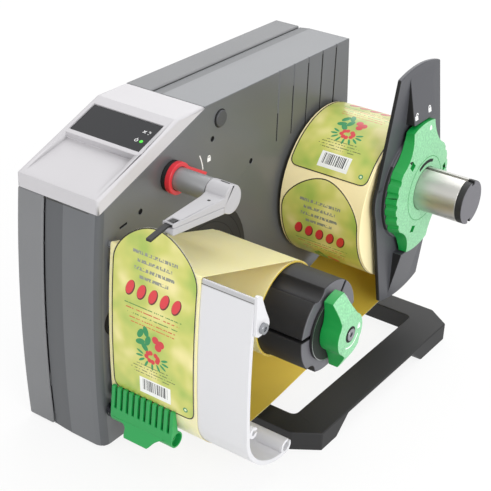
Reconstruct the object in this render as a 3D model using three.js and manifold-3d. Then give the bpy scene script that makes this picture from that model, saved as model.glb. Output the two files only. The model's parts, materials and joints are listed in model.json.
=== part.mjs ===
import * as THREE from 'three';
import { mergeVertices } from 'three/addons/utils/BufferGeometryUtils.js';
import Module from 'manifold-3d';

const wasm = await Module();
wasm.setup();

// A desk machine that peels labels off their liner. A tall slim housing carries, on its right
// face, a label roll, a dispensing plate with a sharp top edge, and a rewinder for the empty liner.
// Sizes are in millimetres. While the machine is built, x is the distance from the right face of
// the housing, y runs from front to back and z is the height above the table.

// Clearances and finish of round surfaces
const restGap = 0.3;
const slideGap = 0.3;
const cutOverrun = 1;
const wideSides = 48;
const roundSides = 32;
const smallSides = 16;
const hexSides = 6;
const wireSides = 4;
const noseSteps = 5;
const webNoseSteps = 6;
const fullTurn = 360;
const halfTurn = 180;
const half = 0.5;

// Housing
const footLift = 2;
const housingHeight = 247.2;
const housingDepth = 332.5;
const backLean = 5.5;
const backLeanDrop = 62;
const frontBulge = 4.8;
const castWidth = 52;
const shellWidth = 26;
const castWall = 4;
const shellWall = 2.5;
const seamGap = 0.4;

// Operator cover on the housing's top front corner
const coverDrop = 45.2;
const coverLip = 12.3;
const coverSlopeRun = 88;
const coverRun = 122;
const coverRim = 1.8;
const coverWall = 2.2;
const windowNear = 54;
const windowFar = 85;
const windowMargin = 5;
const windowSink = 1;
const windowThickness = 2;
const windowLedge = 2;
const pocketNear = 5;
const pocketFar = 50;
const pocketMargin = 5.5;
const pocketDepth = 6;
const lightRadius = 1.6;
const lightInset = 8;
const lightUp = 11;

// Unwinder: a shaft for rolls on a 76 mm core, with a sliding margin stop
const shaftRadius = 19;
const shaftY = 295;
const shaftZ = 150;
const shaftLength = 144;
const keyWidth = 4;
const keyDepth = 3;
const shaftFlangeRadius = 30;
const shaftFlangeThickness = 2.5;
const shaftBoltRadius = 4;
const shaftBoltHeadRadius = 8;
const shaftBoltHead = 6;
const shaftBoltHold = 24;
const endCapLength = 6;
const endCapSpigot = 8;
const endCapSpigotRadius = 12;
const endCapNotch = 3.5;

// Label web
const webInner = 4.5;
const webWidth = 80;
const webThickness = 0.4;
const webLeaveAngle = -35;
const webLoopShares = [
  [0.954, 0.732],
  [0.886, 0.497],
  [0.808, 0.333],
  [0.722, 0.252],
  [0.62, 0.213],
  [0.484, 0.162],
  [0.33, 0.102],
  [0.153, 0.025],
];
const coreWall = 3;
const coreBoreRadius = 38;
const rollRadius = 68.5;

// Margin stop
const bladeGap = 0.5;
const bladeBoss = 2.8;
const bladeBossRadius = 34;
const bladeThickness = 3.6;
const bladeReach = 107.8;
const bladeHalfWidth = 58;
const bladeEndHalfWidth = 33.5;
const bladeWaist = 14;
const ribHalfWidth = 18;
const ribHeight = 8.5;
const ribReach = 100;
const stopHubRadius = 48;
const stopHubHeight = 3;
const stopSpigotRadius = 23;
const stopSpigotLength = 7;
const stopKnobHeight = 11.5;
const stopKnobFall = 4;
const stopKnobFlat = 28;
const stopKnobWaist = 45;
const stopKnobWaistAngle = 38;
const stopKnobLobe = 59.5;
const stopKnobLobeHalf = 18;
const stopKnobFlank = 38;
const stopKnobTurn = 4;
const stopToothCount = 5;
const stopToothPitch = 13.5;
const stopToothRadius = 3.2;
const stopPocketRadius = 40;
const stopPocketSize = 6;
const stopPocketDepth = 4;
const stopPocketCount = 3;
const stopPocketTurn = 7;

// Rewinder
const hubY = 118;
const hubZ = 105.5;
const hubRadius = 37.3;
const hubStart = 5;
const hubLength = 119;
const hubSegments = 3;
const hubGap = 2.8;
const hubGapAngle = 175;
const hubInnerRadius = 19;
const hubGrooveRadius = 8.5;
const hubGrooveOut = 4;
const coreRadius = 17.3;
const rewindShaftRadius = 8;
const flangeRadius = 61;
const flangeStepRadius = 54;
const flangeThickness = 3;
const flangeStart = 1.2;
const woundThickness = 2;
const discRadius = 27;
const discThickness = 2.4;
const hubKnobLobe = 33;
const hubKnobLobeHalf = 8;
const hubKnobFlank = 15;
const hubKnobWaist = 17.5;
const hubKnobWaistAngle = 36;
const hubKnobFlat = 19;
const hubKnobFall = 9;
const hubKnobLength = 16.5;
const hubKnobTilt = 13;
const knobScrewRadius = 5;
const knobScrewHead = 4;
const knobScrewSink = 3;
const knobScrewSocket = 2.2;
const knobScrewStem = 3;

// Dispensing plate
const plateY = 9.3;
const plateBulge = 2.7;
const plateTop = 176.5;
const plateWall = 3.6;
const plateLength = 128;
const plateStart = 0.4;
const plateKneeZ = 60;
const plateFootZ = 22;
const plateHeelY = 58;
const plateKneeLead = 18;
const plateHeelLead = 26;
const plateKneeStep = 1;
const edgeHeight = 4.6;
const edgeNose = 0.8;
const heelPortRadius = 6.3;
const heelPortBore = 3.8;
const heelPortSlot = 4;
const heelPortTurn = 45;
const portRadius = 4.6;
const portBore = 2.1;
const kneePortZ = 67;
const portBack = 8;
const bracketThickness = 2.6;
const bracketReach = 16;
const bracketDrop = 33;
const bracketScrewDrop = 27;
const bracketPortBack = 6.9;
const bracketScrewRadius = 4.1;
const bracketScrewHead = 2.8;
const bracketScrewSocket = 2;

// Brake comb
const combY = 8.2;
const combZ = 36.5;
const combStart = 6.5;
const combLength = 59;
const combTubeRadius = 6.6;
const combBore = 4.2;
const combBoreMouth = 5.4;
const combBoreMouthDepth = 5;
const combTop = 63;
const combThickness = 2.4;
const combSlots = 10;
const combSlotWidth = 2.4;
const combSlotFoot = 44;
const combFlapNear = 16;
const combFlapWidth = 37;
const combFlapLip = 20;
const combFlapCorner = 7;
const combFlapReach = 12;
const combFlapDrop = 10.5;
const combShaftRadius = 3.9;
const springRadius = 5.6;
const springWire = 0.9;
const springTurns = 2;

// Peeled label
const labelInset = 1.8;
const labelWidth = 76;
const labelHeight = 144;
const labelThickness = 0.25;
const labelShoulder = 34;
const labelDome = 16;
const labelGap = 0.15;
const labelFoot = 61;
const labelCorner = 8;

// Label sensor
const sensorY = 81.5;
const sensorZ = 206.7;
const tubeRadius = 9;
const tubeWall = 1.6;
const tubeInside = 50;
const tubeOutside = 50;
const spigotRadius = 7.8;
const spigotHold = 6;
const leverRadius = 12.8;
const leverThickness = 4.7;
const leverTabReach = 34.5;
const leverTabDrop = 7;
const leverTabTip = 4;
const bushWall = 2.6;
const bushReach = 3.6;
const bushLength = 24;
const armWidth = 19;
const armNeckWidth = 15.8;
const armNeckY = 64;
const armShoulderY = 75;
const armTipWidth = 9.3;
const armEnd = 57;
const armTipY = 12.5;
const armPivotRadius = 11.2;
const armPivotDrop = 2.1;
const armArcStart = -129;
const armArcEnd = 148;
const armTipTop = 212;
const armTipBottom = 203;
const armTipSeam = 208.4;
const armWaistY = 72;
const armWaistTop = 209.3;
const armWaistBottom = 196.6;
const armWaistSeam = 202;
const armSlotWidth = 7;
const armSlotHeight = 3.2;
const armSlotDepth = 9;
const armSeamGap = 0.3;
const fingerWidth = 4.4;
const fingerThickness = 2;
const fingerReach = 21;
const fingerDip = 3.4;

// Foot frame
const frameReach = 134;
const frameBarWidth = 31;
const frameFront = 91;
const frameBack = 326;
const frameFrontArm = 21.5;
const frameBackArm = 22.5;
const frameHeight = 16.5;
const frameChamferX = 20;
const frameChamferY = 14;
const frameInnerRadius = 6;
const archHeight = 8.5;
const archFront = 128;
const archBack = 269;
const archRise = 20;
const archEdge = 2.4;
const frameScrewRadius = 2.6;
const frameScrewHold = 20;
const frameScrewHead = 3;
const padLength = 18;
const padInset = 12;

// Features cast into the right face
const capY = 142.5;
const capZ = 233.7;
const capRadius = 6.8;
const capStem = 4.5;
const capStemLength = 7;
const capHeight = 1.6;
const screwHoleRadius = 2.2;
const faceHoleShares = [[0.4, 0.879], [0.562, 0.728], [0.139, 0.762]];
const plateRecessRadius = 12;
const plateRecessDepth = 2;
const plateRecessZ = 112;
const plateRecessY = 16.5;
const slotLength = 8;
const slotWidth = 1.6;
const slotDepth = 1.4;
const slotY = 27;
const slotZ = 186.5;
const slotTilt = 8;
const grooveCount = 5;
const groovePitch = 22;
const grooveFirst = 21;
const grooveWidth = 1.2;
const grooveDepth = 0.8;
const grooveDrop = 62;

// Drive inside the housing
const motorSize = 57;
const motorLength = 40;
const motorY = 195;
const motorZ = 62;
const motorShaftRadius = 3.2;
const motorShaftHold = 22;
const motorBossRadius = 19;
const motorBossHeight = 1.6;
const motorStandoff = 3;
const bracketPlate = 3;
const postRadius = 4;
const motorPulleyRadius = 12;
const rewindPulleyRadius = 36;
const beltWidth = 9;
const beltThickness = 1.8;
const pulleyRim = 1.2;
const pulleyRimHeight = 2.4;
const pulleyClear = 2;
const bearingRadius = 16;
const bearingWidth = 9;
const blockRadius = 22;
const blockLength = 24;
const blockBore = 12;

// Power supply and control board inside the housing
const supplyLength = 92;
const supplyHeight = 42;
const supplyDepth = 34;
const supplyBackGap = 11;
const supplyRoofGap = 3.2;
const boardLength = 116;
const boardHeight = 66;
const boardFrontGap = 7.3;
const boardFootGap = 2.5;
const boardThickness = 1.6;
const boardStandoff = 10;
const standoffRadius = 3;
const standoffInset = 6;
const chipSize = 16;
const chipHeight = 4;

// Connections on the back
const inletWidth = 27;
const inletHeight = 20;
const inletDepth = 22;
const inletFlange = 3.5;
const inletFlangeThickness = 2;
const inletZ = 46;
const inletX = -27;
const inletWall = 2.5;
const inletSocketDepth = 16;
const pinSpacing = 7;
const pinWidth = 2;
const pinHeight = 4;
const pinLength = 11;
const switchWidth = 19;
const switchHeight = 13;
const switchDepth = 14;
const switchWall = 1.6;
const switchZ = 78;
const rockerGap = 0.4;
const rockerDepth = 8;
const rockerTilt = 7;
const rockerPivot = 3;
const interfaceWidth = 31;
const interfaceHeight = 12.5;
const interfaceDepth = 11;
const interfaceZ = 108;
const interfaceWall = 1.6;
const interfaceReach = 5;
const interfaceSocketDepth = 9;

// Places worked out from the sizes above
const housingBottom = footLift;
const housingTop = housingBottom + housingHeight;
const housingLeft = -castWidth - shellWidth;
const housingBack = housingDepth + backLean;
const coverFootZ = housingTop - coverDrop;
const frameScrewZ = housingBottom + castWall + 2 * frameScrewRadius + restGap;
const coverSlopeRise = coverDrop - coverLip;
const shellSlope = (coverDrop - coverRim) / coverRun;
const rollY = shaftY;
const rollZ = shaftZ - (coreBoreRadius - shaftRadius - slideGap);
const webOuter = webInner + webWidth;
const hubEnd = hubStart + hubLength;
const woundRadius = hubRadius + woundThickness;
const edgeTop = plateTop + edgeHeight;
const bossStart = webOuter + bladeGap;
const bladeStart = bossStart + bladeBoss;
const bladeEnd = bladeStart + bladeThickness;
const stopHubEnd = bladeEnd + stopHubHeight;
const stopKnobStart = stopHubEnd + slideGap;
const stopKnobEnd = stopKnobStart + stopKnobHeight;
const shaftEnd = shaftLength + endCapLength;
const discStart = hubEnd + restGap;
const hubKnobStart = discStart + discThickness + restGap;
const hubKnobEnd = hubKnobStart + hubKnobLength;

// Finishes
function finish(color, roughness, metalness) {
  return { color, roughness, metalness };
}
const castGrey = finish(0x6b6e70, 0.5, 0.35);
const shellGrey = finish(0x808184, 0.55, 0.1);
const coverGrey = finish(0xdcdadc, 0.5, 0.1);
const windowBlack = finish(0x3d3e44, 0.15, 0);
const lightGreen = finish(0x46d03a, 0.3, 0);
const blackPlastic = finish(0x2b2b2b, 0.5, 0);
const framePlastic = finish(0x343536, 0.6, 0);
const rubber = finish(0x1c1c1c, 0.9, 0);
const satinMetal = finish(0xc4c2bd, 0.3, 1);
const whiteMetal = finish(0xe4e4e6, 0.35, 0.4);
const steel = finish(0xb8babd, 0.3, 1);
const green = finish(0x1aa050, 0.45, 0);
const red = finish(0xd8343c, 0.45, 0);
const linerYellow = finish(0xe9d68c, 0.5, 0);
const labelGreen = finish(0xc9cf6a, 0.45, 0);
const card = finish(0xc9b48a, 0.9, 0);
const tubeGrey = finish(0xa9aaac, 0.45, 0.2);
const armGrey = finish(0xd2d1d3, 0.5, 0.1);
const darkGrey = finish(0x55575c, 0.5, 0);
const boardGreen = finish(0x1f5f3a, 0.6, 0);

const machine = new THREE.Group();

function addPiece(name, geometry, look) {
  const material = new THREE.MeshStandardMaterial(look);
  const mesh = new THREE.Mesh(geometry, material);
  mesh.name = name;
  machine.add(mesh);
  return mesh;
}

// Solids are joined and cut as closed meshes whose shared corners are merged
function toSolid(geometry) {
  const bare = geometry.clone();
  bare.deleteAttribute('normal');
  bare.deleteAttribute('uv');
  const merged = mergeVertices(bare);
  const vertProperties = new Float32Array(merged.attributes.position.array);
  const triVerts = new Uint32Array(merged.index.array);
  return new wasm.Manifold(new wasm.Mesh({ numProp: 3, vertProperties, triVerts }));
}

function toGeometry(solid) {
  const mesh = solid.getMesh();
  const geometry = new THREE.BufferGeometry();
  geometry.setAttribute('position', new THREE.BufferAttribute(mesh.vertProperties, 3));
  geometry.setIndex(new THREE.BufferAttribute(mesh.triVerts, 1));
  geometry.computeVertexNormals();
  return geometry;
}

function join(first, ...others) {
  return toGeometry(others.reduce((solid, other) => solid.add(toSolid(other)), toSolid(first)));
}

function cut(body, ...tools) {
  return toGeometry(tools.reduce((solid, tool) => solid.subtract(toSolid(tool)), toSolid(body)));
}

function common(body, tool) {
  return toGeometry(toSolid(body).intersect(toSolid(tool)));
}

// A block between two corners
function block(x0, x1, y0, y1, z0, z1) {
  const box = new THREE.BoxGeometry(x1 - x0, y1 - y0, z1 - z0);
  return box.translate((x0 + x1) * half, (y0 + y1) * half, (z0 + z1) * half);
}

// An outline drawn in y and z, pushed along x
const alongX = new THREE.Matrix4().makeBasis(
  new THREE.Vector3(0, 1, 0),
  new THREE.Vector3(0, 0, 1),
  new THREE.Vector3(1, 0, 0),
);
function prism(shape, x0, x1, curveSegments = smallSides) {
  const solid = new THREE.ExtrudeGeometry(shape, { depth: x1 - x0, bevelEnabled: false, curveSegments });
  return solid.applyMatrix4(alongX).translate(x0, 0, 0);
}

// The same, with its edge at x1 cut back by a bevel
function bevelledPrism(shape, x0, x1, bevel, curveSegments = smallSides) {
  const settings = {
    depth: x1 - x0 - bevel,
    bevelEnabled: true,
    bevelThickness: bevel,
    bevelSize: bevel,
    bevelOffset: -bevel,
    bevelSegments: 2,
    curveSegments,
  };
  const solid = new THREE.ExtrudeGeometry(shape, settings).applyMatrix4(alongX).translate(x0, 0, 0);
  const reach = bevel + cutOverrun;
  solid.computeBoundingBox();
  const low = solid.boundingBox.min;
  const high = solid.boundingBox.max;
  const behind = block(x0 - reach, x0, low.y - reach, high.y + reach, low.z - reach, high.z + reach);
  return cut(solid, behind);
}

// An outline drawn in x and z, pushed along y
const alongY = new THREE.Matrix4().makeBasis(
  new THREE.Vector3(1, 0, 0),
  new THREE.Vector3(0, 0, 1),
  new THREE.Vector3(0, -1, 0),
);
function prismY(shape, y0, y1, curveSegments = smallSides) {
  const solid = new THREE.ExtrudeGeometry(shape, { depth: y1 - y0, bevelEnabled: false, curveSegments });
  return solid.applyMatrix4(alongY).translate(0, y1, 0);
}

// An outline drawn in x and y, pushed up along z
function prismZ(shape, z0, z1, curveSegments = smallSides) {
  const solid = new THREE.ExtrudeGeometry(shape, { depth: z1 - z0, bevelEnabled: false, curveSegments });
  return solid.translate(0, 0, z0);
}

function outline(points) {
  return new THREE.Shape(points.map(([a, b]) => new THREE.Vector2(a, b)));
}

function rodX(y, z, radius, x0, x1, sides = roundSides) {
  const rod = new THREE.CylinderGeometry(radius, radius, x1 - x0, sides);
  return rod.rotateZ(-Math.PI * half).translate((x0 + x1) * half, y, z);
}

function rodY(x, z, radius, y0, y1, sides = smallSides) {
  const rod = new THREE.CylinderGeometry(radius, radius, y1 - y0, sides);
  return rod.translate(x, (y0 + y1) * half, z);
}

function rodZ(x, y, radius, z0, z1, sides = smallSides) {
  const rod = new THREE.CylinderGeometry(radius, radius, z1 - z0, sides);
  return rod.rotateX(Math.PI * half).translate(x, y, (z0 + z1) * half);
}

function ringX(y, z, outer, inner, x0, x1, sides = roundSides) {
  const bore = rodX(y, z, inner, x0 - cutOverrun, x1 + cutOverrun, sides);
  return cut(rodX(y, z, outer, x0, x1, sides), bore);
}

// A thin strip that follows a line of points in y and z
function strip(points, thickness, x0, x1) {
  const sides = points.map((point, i) => {
    const before = points[Math.max(i - 1, 0)];
    const after = points[Math.min(i + 1, points.length - 1)];
    return new THREE.Vector2(before.y - after.y, after.x - before.x).normalize();
  });
  const near = points.map((point) => point.clone());
  const far = points.map((point, i) => point.clone().addScaledVector(sides[i], thickness));
  return prism(new THREE.Shape([...near, ...far.reverse()]), x0, x1);
}

// Each point of a line moved sideways
function offsetLine(points, distance) {
  return points.map((point, i) => {
    const before = points[Math.max(i - 1, 0)];
    const after = points[Math.min(i + 1, points.length - 1)];
    const side = new THREE.Vector2(before.y - after.y, after.x - before.x).normalize();
    return point.clone().addScaledVector(side, distance);
  });
}

function turned(geometry, y, z, degrees) {
  const angle = THREE.MathUtils.degToRad(degrees);
  return geometry.translate(0, -y, -z).rotateX(angle).translate(0, y, z);
}

function polar(y, z, radius, degrees) {
  return polarPlace(y, z, radius, THREE.MathUtils.degToRad(degrees));
}

function polarPlace(y, z, radius, angle) {
  return [y + radius * Math.cos(angle), z + radius * Math.sin(angle)];
}

// Side view of the housing, as seen from the right, drawn in by a wall thickness
function housingOutline(inset) {
  const shape = new THREE.Shape();
  const low = housingBottom + inset;
  const high = housingTop - inset;
  const back = housingBack - inset;
  const slopeDrop = inset * Math.hypot(1, shellSlope);
  const footZ = coverFootZ - slopeDrop + shellSlope * inset;
  const stepY = coverRun + inset;
  const middle = (coverFootZ + housingBottom) * half;
  shape.moveTo(inset, low);
  shape.quadraticCurveTo(inset - 2 * frontBulge, middle, inset, footZ);
  shape.lineTo(stepY, coverFootZ - slopeDrop + shellSlope * stepY);
  shape.lineTo(stepY, high);
  shape.lineTo(housingDepth - inset, high);
  shape.lineTo(back, housingTop - backLeanDrop);
  shape.lineTo(back, low);
  return shape;
}

// Rear cover: the left third of the housing, open towards the chassis
const shellBody = prism(housingOutline(0), housingLeft, -castWidth - seamGap);
const shellHollow = prism(housingOutline(shellWall), housingLeft + shellWall, -castWidth + cutOverrun);
addPiece('rear_cover', cut(shellBody, shellHollow), shellGrey);

// Chassis: the cast right part of the housing, with the big face that carries everything
function slotTool() {
  const slot = block(
    -slotDepth,
    cutOverrun,
    slotY - slotLength * half,
    slotY + slotLength * half,
    slotZ - slotWidth * half,
    slotZ + slotWidth * half,
  );
  return turned(slot, slotY, slotZ, slotTilt);
}

function grooveTools() {
  const tools = [];
  for (let i = 0; i < grooveCount; i += 1) {
    const y = housingDepth - grooveFirst - i * groovePitch;
    const low = housingTop - grooveDrop;
    const high = housingTop + cutOverrun;
    tools.push(block(-grooveDepth, cutOverrun, y - grooveWidth * half, y + grooveWidth * half, low, high));
  }
  return tools;
}

function faceHoleTools() {
  return faceHoleShares.map(([depthShare, heightShare]) => {
    const y = depthShare * housingDepth;
    const z = housingBottom + heightShare * housingHeight;
    return rodX(y, z, screwHoleRadius, -castWall * half, cutOverrun, smallSides);
  });
}

function backOpening(width, height, z) {
  const wide = width * half + restGap;
  const tall = height * half + restGap;
  const inner = housingBack - castWall - cutOverrun;
  return block(inletX - wide, inletX + wide, inner, housingBack + cutOverrun, z - tall, z + tall);
}

const heelPortY = plateHeelY + heelPortRadius * half;
const heelPortZ = plateFootZ + heelPortRadius;
const kneePortY = plateY - plateKneeStep + portBack;
const frameScrewFrontY = frameFront + frameFrontArm * half;
const frameScrewBackY = frameBack - frameBackArm * half;
const wallScrewPlaces = [
  [heelPortY, heelPortZ, heelPortBore - restGap],
  [kneePortY, kneePortZ, portBore - restGap],
  [frameScrewFrontY, frameScrewZ, frameScrewRadius],
  [frameScrewBackY, frameScrewZ, frameScrewRadius],
];
const castBody = prism(housingOutline(0), -castWidth, 0);
const castHollow = prism(housingOutline(castWall), -castWidth - cutOverrun, -castWall);
addPiece('chassis', cut(
  castBody,
  castHollow,
  rodX(hubY, hubZ, rewindShaftRadius + slideGap, -castWall - cutOverrun, cutOverrun),
  rodX(sensorY, sensorZ, tubeRadius + bushWall + restGap, -castWall - cutOverrun, cutOverrun),
  rodX(shaftY, shaftZ, shaftBoltRadius + restGap, -castWall - cutOverrun, cutOverrun, smallSides),
  rodX(capY, capZ, capStem + restGap, -castWall - cutOverrun, cutOverrun, smallSides),
  rodX(plateRecessY, plateRecessZ, plateRecessRadius, -plateRecessDepth, cutOverrun),
  slotTool(),
  ...grooveTools(),
  ...faceHoleTools(),
  ...wallScrewPlaces.map(([y, z, radius]) => {
    return rodX(y, z, radius + restGap, -castWall - cutOverrun, cutOverrun, smallSides);
  }),
  backOpening(inletWidth, inletHeight, inletZ),
  backOpening(switchWidth, switchHeight, switchZ),
  backOpening(interfaceWidth, interfaceHeight, interfaceZ),
), castGrey);

const capHead = bevelledPrism(
  new THREE.Shape().absarc(capY, capZ, capRadius, 0, 2 * Math.PI),
  restGap,
  restGap + capHeight,
  capHeight * half,
);
addPiece('round_cap', join(
  capHead,
  rodX(capY, capZ, capStem, -capStemLength, restGap + capHeight * half, smallSides),
), blackPlastic);

for (const [name, front] of [
  ['front_foot_pad', padInset],
  ['back_foot_pad', housingDepth - padInset - padLength],
]) {
  addPiece(name, block(
    housingLeft + padInset,
    -padInset,
    front,
    front + padLength,
    0,
    housingBottom,
  ), rubber);
}

// Operator cover: a hollow cap with a sloped front, over the sloped roof of both housing parts
const slopeAngle = Math.atan2(coverSlopeRise, coverSlopeRun);
const coverLipZ = coverFootZ + coverLip;
function onSlope(along, sink) {
  const y = along * Math.cos(slopeAngle) + sink * Math.sin(slopeAngle);
  const z = coverLipZ + along * Math.sin(slopeAngle) - sink * Math.cos(slopeAngle);
  return [y, z];
}

function slopeSlab(x0, x1, near, far, top, bottom) {
  return prism(outline([
    onSlope(near, bottom),
    onSlope(far, bottom),
    onSlope(far, top),
    onSlope(near, top),
  ]), x0, x1);
}

const coverBody = prism(outline([
  [0, coverFootZ + restGap],
  [coverRun - restGap, coverFootZ + shellSlope * coverRun + restGap],
  [coverRun - restGap, housingTop],
  [coverSlopeRun, housingTop],
  [0, coverLipZ],
]), housingLeft, 0);
const coverHollow = prism(outline([
  [coverWall, coverFootZ - coverLip],
  [coverSlopeRun, coverFootZ - coverLip],
  [coverSlopeRun, housingTop - coverWall],
  [coverWall, coverLipZ - coverWall],
]), housingLeft + coverWall, -coverWall);
const pocketFloor = prism(outline([
  onSlope(pocketNear, coverWall),
  onSlope(pocketFar + coverWall, pocketDepth + coverWall),
  onSlope(pocketFar + coverWall, 0),
  onSlope(pocketNear, 0),
]), housingLeft + coverWall * half, -coverWall * half);
const pocketTool = prism(outline([
  onSlope(pocketNear, 0),
  onSlope(pocketFar, pocketDepth),
  onSlope(pocketFar, -cutOverrun),
  onSlope(pocketNear, -cutOverrun),
]), housingLeft + pocketMargin, -pocketMargin);
const windowLeft = housingLeft + windowMargin;
const windowRight = -windowMargin;
const windowTool = slopeSlab(
  windowLeft,
  windowRight,
  windowNear,
  windowFar,
  -cutOverrun,
  windowSink + windowThickness,
);
const ledgeTool = slopeSlab(
  windowLeft + windowLedge,
  windowRight - windowLedge,
  windowNear + windowLedge,
  windowFar - windowLedge,
  0,
  pocketDepth,
);
const ledgeBlock = slopeSlab(
  housingLeft + coverWall * half,
  -coverWall * half,
  windowNear - windowLedge,
  windowFar + windowLedge,
  windowSink,
  windowSink + windowThickness + coverWall,
);
const coverLining = common(join(ledgeBlock, pocketFloor), coverBody);
addPiece('operator_cover', cut(
  join(cut(coverBody, coverHollow), coverLining),
  pocketTool,
  windowTool,
  ledgeTool,
), coverGrey);

addPiece('display_window', slopeSlab(
  windowLeft + restGap,
  windowRight - restGap,
  windowNear + restGap,
  windowFar - restGap,
  windowSink,
  windowSink + windowThickness - restGap,
), windowBlack);

// Display board on the roof under the window, with the status light on it
const boardLow = onSlope(windowNear + windowLedge + restGap, 0);
const boardHigh = onSlope(windowFar - windowLedge - restGap, 0);
function roofZ(y) {
  return coverFootZ + shellSlope * y;
}
addPiece('display_board', prism(outline([
  [boardLow[0], roofZ(boardLow[0]) + restGap],
  [boardHigh[0], roofZ(boardHigh[0]) + restGap],
  [boardHigh[0], roofZ(boardHigh[0]) + restGap + boardThickness],
  [boardLow[0], roofZ(boardLow[0]) + restGap + boardThickness],
]), windowLeft + windowLedge + restGap, windowRight - windowLedge - restGap), boardGreen);

const lightX = windowRight - lightInset;
const [lightY, lightSlopeZ] = onSlope(windowNear + lightUp, windowSink + windowThickness);
const lightBase = roofZ(lightY + lightRadius) + restGap + boardThickness;
const lightTop = lightSlopeZ - lightRadius;
addPiece('status_light', rodZ(lightX, lightY, lightRadius, lightBase, lightTop), lightGreen);

// Dispensing plate: an extrusion with a bowed front, a foot that curls back and screw ports
function bezier(a, b, c, d, count) {
  return new THREE.CubicBezierCurve(a, b, c, d).getPoints(count);
}

function point(y, z) {
  return new THREE.Vector2(y, z);
}

const plateMiddle = point(plateY - 2 * plateBulge, (plateTop + plateKneeZ) * half);
const plateKnee = point(plateY - plateKneeStep, plateKneeZ);
const plateHeel = point(plateHeelY, plateFootZ);
const kneeLean = (plateKnee.x - plateMiddle.x) / (plateMiddle.y - plateKnee.y);
const plateFootLine = bezier(
  plateHeel,
  point(plateHeelY - plateHeelLead, plateFootZ),
  point(plateKnee.x + kneeLean * plateKneeLead, plateKneeZ - plateKneeLead),
  plateKnee,
  smallSides,
);
const plateFrontLine = new THREE.QuadraticBezierCurve(plateKnee, plateMiddle, point(plateY, plateTop));
const plateLine = [...plateFootLine, ...plateFrontLine.getPoints(smallSides * half).slice(1)];
const plateEnd = plateStart + plateLength;

function screwPort(y, z, outer) {
  return rodX(y, z, outer, plateStart, plateEnd, smallSides);
}

function portTools(y, z, bore, slot, turn) {
  const hole = rodX(y, z, bore, plateStart - cutOverrun, plateEnd + cutOverrun, smallSides);
  const mouth = block(
    plateStart - cutOverrun,
    plateEnd + cutOverrun,
    y,
    y + bore + heelPortRadius,
    z - slot * half,
    z + slot * half,
  );
  return [hole, turned(mouth, y, z, turn)];
}

function portNeck(y, z) {
  return block(plateStart, plateEnd, plateY, y, z - portBore, z + portBore);
}

const bracketPortZ = edgeTop + edgeHeight * half - bracketScrewDrop;
const bracketPortY = plateY + bracketPortBack;
addPiece('dispense_plate', cut(
  join(
    strip(plateLine, -plateWall, plateStart, plateEnd),
    screwPort(heelPortY, heelPortZ, heelPortRadius),
    screwPort(kneePortY, kneePortZ, portRadius),
    screwPort(bracketPortY, bracketPortZ, portRadius),
    portNeck(kneePortY, kneePortZ),
    portNeck(bracketPortY, bracketPortZ),
  ),
  ...portTools(heelPortY, heelPortZ, heelPortBore, heelPortSlot, heelPortTurn),
  ...portTools(kneePortY, kneePortZ, portBore, portBore, 0),
  ...portTools(bracketPortY, bracketPortZ, portBore, portBore, 0),
), whiteMetal);

// Dispense edge: the thin strip on the plate's top that the liner turns round
const topLean = (plateY - plateMiddle.x) / (plateTop - plateMiddle.y);
const noseY = plateY + topLean * edgeHeight + edgeNose;
const noseZ = edgeTop - edgeNose;
const noseRadius = edgeNose + restGap;
const woundLineRadius = woundRadius + restGap;
const spanLength = Math.hypot(hubY - noseY, hubZ - noseZ);
const spanAngle = Math.atan2(hubZ - noseZ, hubY - noseY);
const spanNormal = spanAngle + Math.acos((noseRadius - woundLineRadius) / spanLength);
const spanDegrees = THREE.MathUtils.radToDeg(spanNormal);
const frontNormal = halfTurn - THREE.MathUtils.radToDeg(Math.atan(topLean));

function arcPoints(y, z, radius, from, to, count) {
  return Array.from({ length: count + 1 }, (unused, i) => {
    return point(...polar(y, z, radius, from + (to - from) * i / count));
  });
}

const noseLine = arcPoints(noseY, noseZ, edgeNose, frontNormal, spanDegrees, noseSteps);
const edgeDrop = plateWall * Math.tan(Math.PI * half - spanNormal);
addPiece('dispense_edge', prism(new THREE.Shape([
  point(plateY, plateTop),
  ...noseLine,
  point(plateY + plateWall, noseLine[noseLine.length - 1].y - edgeDrop),
  point(plateY + plateWall, plateTop),
].reverse()), plateStart, plateEnd), satinMetal);

// End bracket: closes the plate's free end and clamps the edge strip
const bracketTop = edgeTop + edgeHeight * half;
const bracketShares = [
  [0, 0.06],
  [0.18, 0],
  [0.63, 0],
  [0.91, 0.05],
  [1, 0.17],
  [0.95, 0.28],
  [0.69, 0.53],
  [0.43, 0.83],
  [0.36, 0.94],
  [0.14, 1],
  [0, 1],
];
const bracketStart = plateEnd;
const bracketEnd = bracketStart + bracketThickness;
const bracketBody = prism(outline(bracketShares.map(([y, z]) => [
  plateY + y * bracketReach,
  bracketTop - bracketDrop + z * bracketDrop,
])), bracketStart, bracketEnd);
addPiece('end_bracket', cut(
  bracketBody,
  rodX(
    bracketPortY,
    bracketPortZ,
    portBore,
    bracketStart - cutOverrun,
    bracketEnd + cutOverrun,
    smallSides,
  ),
), whiteMetal);

function capScrew(y, z, stem, stemStart, headStart, radius, head, socket) {
  return cut(
    join(
      rodX(y, z, stem, stemStart, headStart + head * half, smallSides),
      rodX(y, z, radius, headStart, headStart + head, smallSides),
    ),
    rodX(y, z, socket, headStart + head * half, headStart + head + cutOverrun, hexSides),
  );
}
addPiece('bracket_screw', capScrew(
  bracketPortY,
  bracketPortZ,
  portBore - restGap,
  bracketStart - bracketReach,
  bracketEnd,
  bracketScrewRadius,
  bracketScrewHead,
  bracketScrewSocket,
), steel);

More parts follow.
